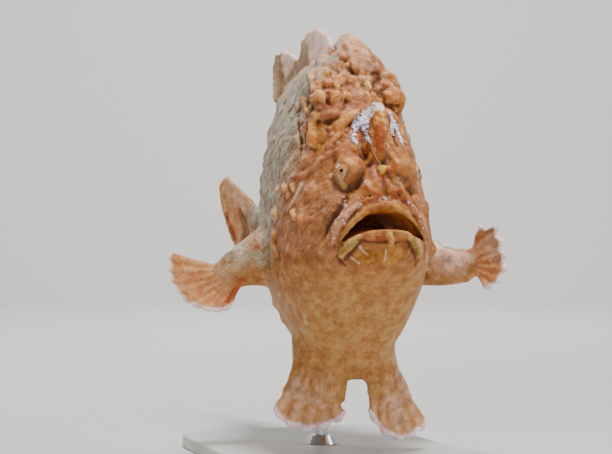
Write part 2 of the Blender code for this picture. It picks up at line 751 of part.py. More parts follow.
def stand_base(collection):
    """A flat plate with round corners and a softened edge."""
    shape = bmesh.new()
    corners = []
    for sign_x, sign_y, first in ((1, 1, 0), (-1, 1, 90), (-1, -1, 180), (1, -1, 270)):
        for k in range(6):
            turn = math.radians(first + 18 * k)
            x = sign_x * (STAND_HALF_X - STAND_CORNER) + STAND_CORNER * math.cos(turn)
            y = sign_y * (STAND_HALF_Y - STAND_CORNER) + STAND_CORNER * math.sin(turn)
            corners.append(shape.verts.new((x, y, 0.0)))
    foot = shape.faces.new(corners)
    lifted = bmesh.ops.extrude_face_region(shape, geom=[foot])
    top = [item for item in lifted["geom"] if isinstance(item, bmesh.types.BMVert)]
    bmesh.ops.translate(shape, vec=(0.0, 0.0, BASE_THICKNESS), verts=top)
    base = from_bmesh("stand_base", shape, collection)
    edge = base.modifiers.new("Bevel", "BEVEL")
    edge.width = 0.0012
    edge.segments = 2
    edge.limit_method = "ANGLE"
    edge.angle_limit = math.radians(60)
    return apply_modifiers(base)


def stand_collar(collection):
    shape = bmesh.new()
    bmesh.ops.create_cone(
        shape, cap_ends=True, segments=28, radius1=COLLAR_RADIUS, radius2=COLLAR_RADIUS * 0.72, depth=COLLAR_HEIGHT
    )
    middle = BASE_THICKNESS + GAP + COLLAR_HEIGHT / 2
    bmesh.ops.translate(shape, vec=(0.0, ROD_Y, middle), verts=shape.verts)
    return from_bmesh("stand_collar", shape, collection)


def stand_rod(collection):
    """The upright from the collar into the belly, trimmed where it meets the skin."""
    low = BASE_THICKNESS + COLLAR_HEIGHT + 2 * GAP
    high = MOUTH_HEIGHT - 0.060
    shape = bmesh.new()
    bmesh.ops.create_cone(
        shape, cap_ends=True, segments=20, radius1=ROD_RADIUS, radius2=ROD_RADIUS, depth=high - low
    )
    bmesh.ops.translate(shape, vec=(0.0, ROD_Y, (high + low) / 2), verts=shape.verts)
    return from_bmesh("stand_rod", shape, collection)


def material(name, colour, roughness, metallic=0.0):
    finish = bpy.data.materials.new(name)
    finish.use_nodes = True
    shader = finish.node_tree.nodes["Principled BSDF"]
    shader.inputs["Base Color"].default_value = (*colour, 1.0)
    shader.inputs["Roughness"].default_value = roughness
    shader.inputs["Metallic"].default_value = metallic
    return finish


def paint(obj, finish):
    obj.data.materials.clear()
    obj.data.materials.append(finish)
    obj.data.shade_smooth()
    obj.data.set_sharp_from_angle(angle=math.radians(50))


def split_flesh(flesh, fish, spare):
    """The flesh nodes, parted by thin cuts."""
    nodes = []
    body = [side_plane(SHOULDER, 1, 1), side_plane(SHOULDER, -1, 1), level_plane(HIP_UP, -1)]
    head = parted("head", flesh, [plane_of(NECK, 1)] + body, fish, spare)
    larger = jaw_block(GAP, spare)
    cut_by(head, larger)
    bpy.data.objects.remove(larger)
    nodes.append(head)
    jaw = copied(flesh, "lower_jaw", fish)
    block = jaw_block(0.0, spare)
    boolean(jaw, block, "INTERSECT")
    bpy.data.objects.remove(block)
    nodes.append(keep_largest(jaw))
    nodes.append(parted("torso", flesh, [plane_of(NECK, -1), plane_of(TAIL_STEM, 1)] + body, fish, spare))
    nodes.append(parted("tail_stem", flesh, [plane_of(TAIL_STEM, -1)], fish, spare))
    for side, word in ((-1, "right"), (1, "left")):
        nodes.append(parted("pectoral_arm_" + word, flesh, [side_plane(SHOULDER, side, -1)], fish, spare))
        middle = (Vector((0.0, 0.0, 0.0)), Vector((-side, 0.0, 0.0)))
        nodes.append(parted("pelvic_leg_" + word, flesh, [level_plane(HIP_UP, 1), middle], fish, spare))
    return nodes


def main():
    for obj in list(bpy.data.objects):
        bpy.data.objects.remove(obj)
    fish = bpy.data.collections.new("frogfish")
    spare = bpy.data.collections.new("cutters")
    bpy.context.scene.collection.children.link(fish)
    bpy.context.scene.collection.children.link(spare)

    skin = material("skin", (0.58, 0.25, 0.08), 0.6)
    fin_skin = material("fin", (0.60, 0.24, 0.09), 0.55)
    eye_finish = material("eye", (0.16, 0.09, 0.04), 0.15)
    lure_finish = material("lure", (0.80, 0.72, 0.64), 0.5)
    plate_finish = material("stand_plate", (0.55, 0.55, 0.54), 0.5)
    steel = material("stand_steel", (0.62, 0.62, 0.63), 0.3, 1.0)

    flesh = make_flesh(spare)
    raise_warts(flesh)
    reduced(flesh, FLESH_TRIANGLES)
    larger = grown(flesh, spare)

    flesh_nodes = split_flesh(flesh, fish, spare)
    head = flesh_nodes[0]
    for side in (-1, 1):
        x, back, up = (EYE[k] + EYE_OUT[k] for k in range(3))
        socket = ball("socket", at(side * x, back, up), (EYE_RADIUS + GAP,) * 3, spare, 14)
        cut_by(head, socket)
        bpy.data.objects.remove(socket)
        paint(eye(side, fish), eye_finish)
    for node in flesh_nodes:
        paint(node, skin)

    fins = [pectoral_fin_right(fish), pectoral_fin_left(fish), pelvic_fin(-1, fish), pelvic_fin(1, fish)]
    fins.extend([caudal_fin(fish), dorsal_fin(fish), anal_fin(fish)])
    for fin in fins:
        paint(cut_by(fin, larger), fin_skin)
    for spine in (second_dorsal_spine(fish), third_dorsal_spine(fish)):
        paint(cut_by(spine, larger), skin)
    paint(cut_by(illicium(fish, spare), larger), lure_finish)

    paint(stand_base(fish), plate_finish)
    paint(stand_collar(fish), steel)
    paint(cut_by(stand_rod(fish), larger), steel)

    for obj in (flesh, larger):
        bpy.data.objects.remove(obj)
    bpy.data.collections.remove(spare)


main()
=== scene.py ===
"""Looks of a giant frogfish over its display stand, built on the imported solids.

Sizes are in metres. The fish faces -Y. Back is measured from its lips towards its tail, and up from the level
of its mouth.
"""

import math
import random

import bmesh
import bpy
import numpy as np
from mathutils import Matrix, Vector, kdtree, noise
from mathutils.bvhtree import BVHTree


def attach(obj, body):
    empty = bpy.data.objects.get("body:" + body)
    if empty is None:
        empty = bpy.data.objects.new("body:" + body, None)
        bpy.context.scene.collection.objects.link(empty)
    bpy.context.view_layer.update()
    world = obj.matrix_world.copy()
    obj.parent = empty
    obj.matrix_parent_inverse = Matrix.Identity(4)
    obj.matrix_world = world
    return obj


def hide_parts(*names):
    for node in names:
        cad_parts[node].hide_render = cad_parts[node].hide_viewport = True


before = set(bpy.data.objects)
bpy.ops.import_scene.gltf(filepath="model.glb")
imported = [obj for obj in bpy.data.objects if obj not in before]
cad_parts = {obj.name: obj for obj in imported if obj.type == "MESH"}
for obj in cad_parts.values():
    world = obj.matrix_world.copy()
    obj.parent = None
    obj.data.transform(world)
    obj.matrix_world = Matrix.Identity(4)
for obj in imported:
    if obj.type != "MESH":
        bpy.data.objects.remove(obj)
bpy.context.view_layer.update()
bpy.ops.object.select_all(action="DESELECT")

MM = 0.001
# The middle of the lips, and how the tail swings to the fish's right behind the start of the bend
SNOUT = Vector((0.0, -0.105, 0.140))
BEND_START = 0.120
BEND = -0.56
UP = Vector((0.0, 0.0, 1.0))

# The picture is 612 by 454 points, seen from 0.9 m in front of the mouth and 19 degrees to the fish's right
PICTURE_WIDTH = 612
PICTURE_HEIGHT = 454
SENSOR = 36.0
LENS = 96.26
AHEAD = Vector((0.3256, 0.9455, 0.0))
ACROSS = Vector((0.9455, -0.3256, 0.0))
CAMERA_AWAY = 0.9
CAMERA_ASIDE = 0.04345
CAMERA_POINT = SNOUT - AHEAD * CAMERA_AWAY - ACROSS * CAMERA_ASIDE
POINTS_PER_SLOPE = LENS / SENSOR * PICTURE_WIDTH

# Points of a solid this close are welded. Each solid grows by this much, which closes the cuts of 0.3 mm
WELD = 0.00002
GROWTH = 0.00035


def at(x, back, up):
    """A place along the fish, with the swing of its tail."""
    past = max(0.0, back - BEND_START)
    return Vector((x - BEND * past * past, SNOUT.y + back, SNOUT.z + up))


def sight(column, row):
    """The direction from the camera through a point of the picture."""
    slope_x = (column - PICTURE_WIDTH / 2) / POINTS_PER_SLOPE
    slope_z = (PICTURE_HEIGHT / 2 - row) / POINTS_PER_SLOPE
    return (AHEAD + ACROSS * slope_x + UP * slope_z).normalized()


def place_camera():
    """The camera of the picture."""
    lens = bpy.data.cameras.new("camera")
    lens.lens = LENS
    lens.sensor_width = SENSOR
    lens.clip_start = 0.01
    camera = bpy.data.objects.new("camera", lens)
    bpy.context.scene.collection.objects.link(camera)
    camera.location = CAMERA_POINT
    camera.rotation_euler = AHEAD.to_track_quat("-Z", "Y").to_euler()
    bpy.context.scene.camera = camera


# Working on meshes


def pick(*objects):
    """Selects these objects alone, the first of them active."""
    bpy.ops.object.select_all(action="DESELECT")
    for obj in objects:
        obj.select_set(True)
    bpy.context.view_layer.objects.active = objects[0]
    return objects[0]


def finish_with(obj, name, kind, **settings):
    """Adds a modifier with its settings and applies it."""
    modifier = obj.modifiers.new(name, kind)
    for key, value in settings.items():
        setattr(modifier, key, value)
    pick(obj)
    bpy.ops.object.modifier_apply(modifier=name)
    return obj


def merged(name, objects):
    """One object made of several, under a new name."""
    pick(*objects)
    bpy.ops.object.join()
    whole = bpy.context.view_layer.objects.active
    whole.name = whole.data.name = name
    return whole


def copy_of_node(node_name):
    """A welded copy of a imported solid, grown by a gap's width so that it meets its neighbours."""
    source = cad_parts[node_name]
    mesh = source.data.copy()
    mesh.materials.clear()
    copy = bpy.data.objects.new(node_name + "_flesh", mesh)
    bpy.context.scene.collection.objects.link(copy)
    shape = bmesh.new()
    shape.from_mesh(mesh)
    bmesh.ops.remove_doubles(shape, verts=shape.verts, dist=WELD)
    bmesh.ops.recalc_face_normals(shape, faces=shape.faces)
    shape.to_mesh(mesh)
    shape.free()
    return finish_with(copy, "Swell", "DISPLACE", strength=GROWTH, mid_level=0.0)


def surface_of(obj):
    """A search tree of an object's faces."""
    vertices = [vertex.co for vertex in obj.data.vertices]
    return BVHTree.FromPolygons(vertices, [face.vertices for face in obj.data.polygons])


def on_surface(surface, column, row):
    """Where the line of sight through a point of the picture meets the skin, and which way it faces there."""
    hit, facing = surface.ray_cast(CAMERA_POINT, sight(column, row))[:2]
    return hit, facing


def beads_along(chain, step):
    """Points of a chain with more between them, so that neighbours lie within a step."""
    beads = [chain[0]]
    for near, far in zip(chain, chain[1:]):
        count = max(1, math.ceil(math.hypot(far[0] - near[0], far[1] - near[1]) / step))
        for k in range(1, count + 1):
            beads.append(tuple(a + (b - a) * k / count for a, b in zip(near, far)))
    return beads


def seen_along(surface, chain, step):
    """The beads of a chain on the skin: place, direction of the skin there, and the chain's other numbers."""
    for column, row, *rest in beads_along(chain, step):
        hit, facing = on_surface(surface, column, row)
        if hit is not None:
            yield hit, facing, *rest


def object_of(name, points, faces, edges=()):
    """A new object of these points, faces and edges."""
    mesh = bpy.data.meshes.new(name)
    mesh.from_pydata(points, edges, faces)
    obj = bpy.data.objects.new(name, mesh)
    bpy.context.scene.collection.objects.link(obj)
    return obj


def blobs(name, matrices, fineness=2):
    """One mesh of many balls, each placed, turned and stretched by a matrix."""
    bpy.ops.mesh.primitive_ico_sphere_add(subdivisions=fineness, radius=1.0)
    ball = bpy.context.active_object
    points = points_of(ball.data)
    faces = np.array([face.vertices[:] for face in ball.data.polygons])
    bpy.data.objects.remove(ball)
    turns = np.array([[list(row) for row in matrix] for matrix in matrices])
    placed = np.einsum("kij,nj->kni", turns[:, :3, :3], points) + turns[:, None, :3, 3]
    faces = faces + (np.arange(len(turns)) * len(points))[:, None, None]
    return object_of(name, placed.reshape(-1, 3).tolist(), faces.reshape(-1, 3).tolist())


def balls(name, places, fineness=2):
    """One mesh of many round balls, each a centre and a radius."""
    matrices = [Matrix.Translation(centre) @ Matrix.Scale(radius, 4) for centre, radius in places]
    return blobs(name, matrices, fineness)


# Fins: fans and crests, each a fine sheet with its share across and its share out kept for the rays


def lobed(rays, depth, share, sharpness=0.6):
    """How far the fin reaches there: full at each ray's tip, cut back between two rays."""
    return 1 - depth * (1 - abs(math.sin(math.pi * rays * share)) ** sharpness)


def between(table, value):
    """A number read between the rows of a table of pairs."""
    for low, high in zip(table, table[1:]):
        if value <= high[0]:
            share = max(0.0, (value - low[0]) / (high[0] - low[0]))
            return low[1] + share * (high[1] - low[1])
    return table[-1][1]


def fan(apex, along, up, angles, lengths, start, rays, bow, curl=0.0, notch=0.03, sharpness=0.6):
    """Places on a fan that spreads from an apex, by the share out along a ray and the share across the rays.

    Angles and curl are in degrees. Lengths are the ray lengths at shares of the way across. Bow is how far a
    ray's tip stands out of the plane, as a share of its length. Notch and sharpness shape the edge.
    """
    normal = along.cross(up)

    def place(out, share):
        angle = angles[0] + (angles[1] - angles[0]) * share
        angle = math.radians(angle - curl * (1 - out) * (1 - share) ** 2)
        length = between(lengths, share)
        reach = start + (length * lobed(rays, notch, share, sharpness) - start) * out
        direction = along * math.cos(angle) + up * math.sin(angle)
        return apex + direction * reach + normal * (bow * (reach / length) ** 2 * length)

    return place


# The soft dorsal fin: its rays, where its root starts and ends behind the lips, and its height along the root
DORSAL_RAYS = 13
DORSAL_ROOT = (0.086, 0.163)
DORSAL_EDGE = (
    (0.00, 0.006),
    (0.10, 0.0155),
    (0.25, 0.023),
    (0.42, 0.0235),
    (0.52, 0.020),
    (0.57, 0.012),
    (0.62, 0.0125),
    (0.70, 0.020),
    (0.80, 0.026),
    (0.90, 0.028),
    (0.95, 0.023),
    (1.00, 0.004),
)
# Degrees that it leans back in front, and how many more at its rear end. Its edge waves to both sides a little,
# and its rear lobe, from a share along the root, is laid over to the right
DORSAL_LEAN = (2, 24)
DORSAL_WAVE = 0.0012
REAR_LOBE = 0.45
REAR_LAID_OVER = 0.020

# Height of the back and of the belly above the mouth at distances behind the lips
BACK_LINE = ((0.070, 0.103), (0.095, 0.101), (0.125, 0.097), (0.155, 0.087), (0.185, 0.060), (0.210, 0.034))
BELLY_LINE = ((0.155, -0.045), (0.185, -0.027), (0.210, -0.014))
# How deep the roots of the two crests lie in the flesh
DORSAL_DEPTH = 0.012
ANAL_DEPTH = 0.010
# The anal fin: its rays, where its root starts, how long the root is, its height and its lean in degrees
ANAL_RAYS = 8
ANAL_START = 0.166
ANAL_LENGTH = 0.042
ANAL_HEIGHT = 0.026
ANAL_LEAN = (38, 26)


def dorsal_place(out, share):
    """A place on the soft dorsal fin, which leans back and waves a little."""
    back = DORSAL_ROOT[0] + (DORSAL_ROOT[1] - DORSAL_ROOT[0]) * share
    height = DORSAL_DEPTH + between(DORSAL_EDGE, share) * lobed(DORSAL_RAYS, 0.02, share)
    lean = math.radians(DORSAL_LEAN[0] + DORSAL_LEAN[1] * share)
    wave = DORSAL_WAVE * math.sin(9 * share + 1.0)
    aside = wave * out - REAR_LAID_OVER * out * max(0.0, share - REAR_LOBE)
    root_up = between(BACK_LINE, back) - DORSAL_DEPTH
    return at(aside, back + height * out * math.sin(lean), root_up + height * out * math.cos(lean))


def anal_place(out, share):
    """A place on the anal fin, which leans back under the tail's root."""
    back = ANAL_START + ANAL_LENGTH * share
    rise = min(1.0, math.sin(math.pi * min(1.0, share * 2.2) / 2) + 0.15)
    height = ANAL_DEPTH + ANAL_HEIGHT * rise * lobed(ANAL_RAYS, 0.06, share)
    lean = math.radians(ANAL_LEAN[0] + ANAL_LEAN[1] * share)
    root_up = between(BELLY_LINE, back) + ANAL_DEPTH
    return at(0.0, back + height * out * math.sin(lean), root_up - height * out * math.cos(lean))


def foot_along(side):
    """The direction of a foot, outwards on its side."""
    return Vector((side * 0.927, 0.375, 0.0))


# Directions of the limbs, outwards from the body
LEG_UP = Vector((0.0, 0.20, 0.98))
RIGHT_ARM_ALONG = Vector((-0.9455, 0.3256, 0.0))
LEFT_ARM_ALONG = Vector((0.515, -0.857, 0.0))
TAIL_ALONG = Vector((-0.333, 0.943, 0.0))

# Ray lengths of the fans at shares of the way across
RIGHT_HAND_RAYS = ((0, 0.0480), (0.25, 0.0475), (0.5, 0.0435), (0.8, 0.0345), (0.92, 0.0300), (1, 0.0230))
LEFT_HAND_RAYS = (
    (0, 0.020), (0.25, 0.0275), (0.38, 0.030), (0.55, 0.029), (0.78, 0.0325), (0.93, 0.0255), (1, 0.018),
)
RIGHT_FOOT_RAYS = ((0, 0.0445), (0.2, 0.0490), (0.5, 0.0530), (0.8, 0.0550), (1, 0.0500))
LEFT_FOOT_RAYS = ((0, 0.0430), (0.3, 0.0560), (0.6, 0.0630), (0.85, 0.0640), (1, 0.0625))
TAIL_RAYS = (
    (0, 0.0475), (0.16, 0.050), (0.37, 0.054), (0.53, 0.0583), (0.7, 0.065), (0.87, 0.0705), (1, 0.065),
)

# Each fin: place, number of rays, thickness at the root and at the edge, height of the ray ridges,
# how strong its own colour is, and the width of its pale margin at shares of the way across
FINS = {
    "pectoral_fin_right": (
        fan(
            at(-0.050, 0.0900, -0.0225), RIGHT_ARM_ALONG, UP, (10, -68), RIGHT_HAND_RAYS,
            start=0.010, rays=9, bow=-0.10, curl=9, notch=0.03,
        ),
        9, 0.0042, 0.0017, 0.0005, 1.0, ((0, 0.0014), (0.5, 0.0016), (0.7, 0.0026), (1, 0.0030)),
    ),
    "pectoral_fin_left": (
        fan(
            at(0.0770, 0.0600, -0.0225), LEFT_ARM_ALONG, UP, (-46, 70), LEFT_HAND_RAYS,
            start=0.003, rays=7, bow=0.12, notch=0.10, sharpness=0.9,
        ),
        7, 0.0042, 0.0017, 0.0006, 1.0, ((0, 0.0018), (1, 0.0018)),
    ),
    "pelvic_fin_right": (
        fan(
            at(-0.0155, 0.0585, -0.0655), foot_along(-1), LEG_UP, (-103, -51), RIGHT_FOOT_RAYS,
            start=0.014, rays=5, bow=-0.06,
        ),
        5, 0.0046, 0.0018, 0.0010, 0.8, ((0, 0.0022), (1, 0.0026)),
    ),
    "pelvic_fin_left": (
        fan(
            at(0.0155, 0.0585, -0.0655), foot_along(1), LEG_UP, (-103, -55), LEFT_FOOT_RAYS,
            start=0.014, rays=5, bow=0.06,
        ),
        5, 0.0046, 0.0018, 0.0010, 0.8, ((0, 0.0022), (1, 0.0026)),
    ),
    "caudal_fin": (
        fan(
            at(0.0, 0.221, 0.0060), TAIL_ALONG, UP, (-34, 28), TAIL_RAYS,
            start=0.012, rays=9, bow=0.05, notch=0.01,
        ),
        9, 0.0050, 0.0017, 0.0001, 1.0, ((0, 0.0012), (1, 0.0016)),
    ),
    "soft_dorsal_fin": (dorsal_place, DORSAL_RAYS, 0.0070, 0.0034, 0.0003, 0.5, ((0, 0.0006), (1, 0.0006))),
    "anal_fin": (anal_place, ANAL_RAYS, 0.0046, 0.0017, 0.0005, 0.6, ((0, 0.0014), (1, 0.0014))),
}

# Flesh that thins out from the limb into its fan: radius at the limb, and the share out where it ends
TAPERS = {
    "pectoral_fin_right": (0.0078, 0.75),
    "pectoral_fin_left": (0.0070, 0.65),
    "pelvic_fin_right": (0.0120, 0.90),
    "pelvic_fin_left": (0.0115, 0.85),
    "caudal_fin": (0.0060, 0.60),
}
TAPER_POWER = 1.3
TAPER_STEPS_OUT = 18
TAPER_STEPS_ACROSS = 16
LEAST_TAPER = 0.0012

FIN_STEPS_ACROSS = 110
FIN_STEPS_OUT = 40


def fin_thickness(root, edge, out):
    """A fin's thickness at a share of the way out."""
    return root + (edge - root) * out ** 0.8


def fin_sheet(name):
    """The fin as a thin closed sheet. Also gives its points with their shares out and across."""
    place, _, root, edge = FINS[name][:4]
    bpy.ops.mesh.primitive_grid_add(x_subdivisions=FIN_STEPS_ACROSS, y_subdivisions=FIN_STEPS_OUT, size=1.0)
    sheet = bpy.context.active_object
    sheet.name = name + "_sheet"
    group = sheet.vertex_groups.new(name="thickness")
    marks = []
    for vertex in sheet.data.vertices:
        share, out = vertex.co.x + 0.5, vertex.co.y + 0.5
        vertex.co = place(out, share)
        marks.append((vertex.co.copy(), out, share))
        group.add([vertex.index], fin_thickness(root, edge, out) / root, "REPLACE")
    finish_with(sheet, "Solidify", "SOLIDIFY", thickness=root, offset=0.0, vertex_group="thickness")
    sheet.vertex_groups.clear()
    return sheet, marks


def tapers():
    """Balls that let every limb thin out smoothly into its fan."""
    places = []
    for name, (radius, reach) in TAPERS.items():
        place = FINS[name][0]
        for k in range(TAPER_STEPS_OUT):
            out = reach * k / TAPER_STEPS_OUT
            for m in range(1, TAPER_STEPS_ACROSS):
                share = m / TAPER_STEPS_ACROSS
                centre = place(out, share)
                side = min((centre - place(out, 0.0)).length, (centre - place(out, 1.0)).length)
                size = min(radius * (1 - k / TAPER_STEPS_OUT) ** TAPER_POWER, side * 0.9 + 0.0004)
                if size > LEAST_TAPER:
                    places.append((centre, size))
    return balls("tapers", places, 1)


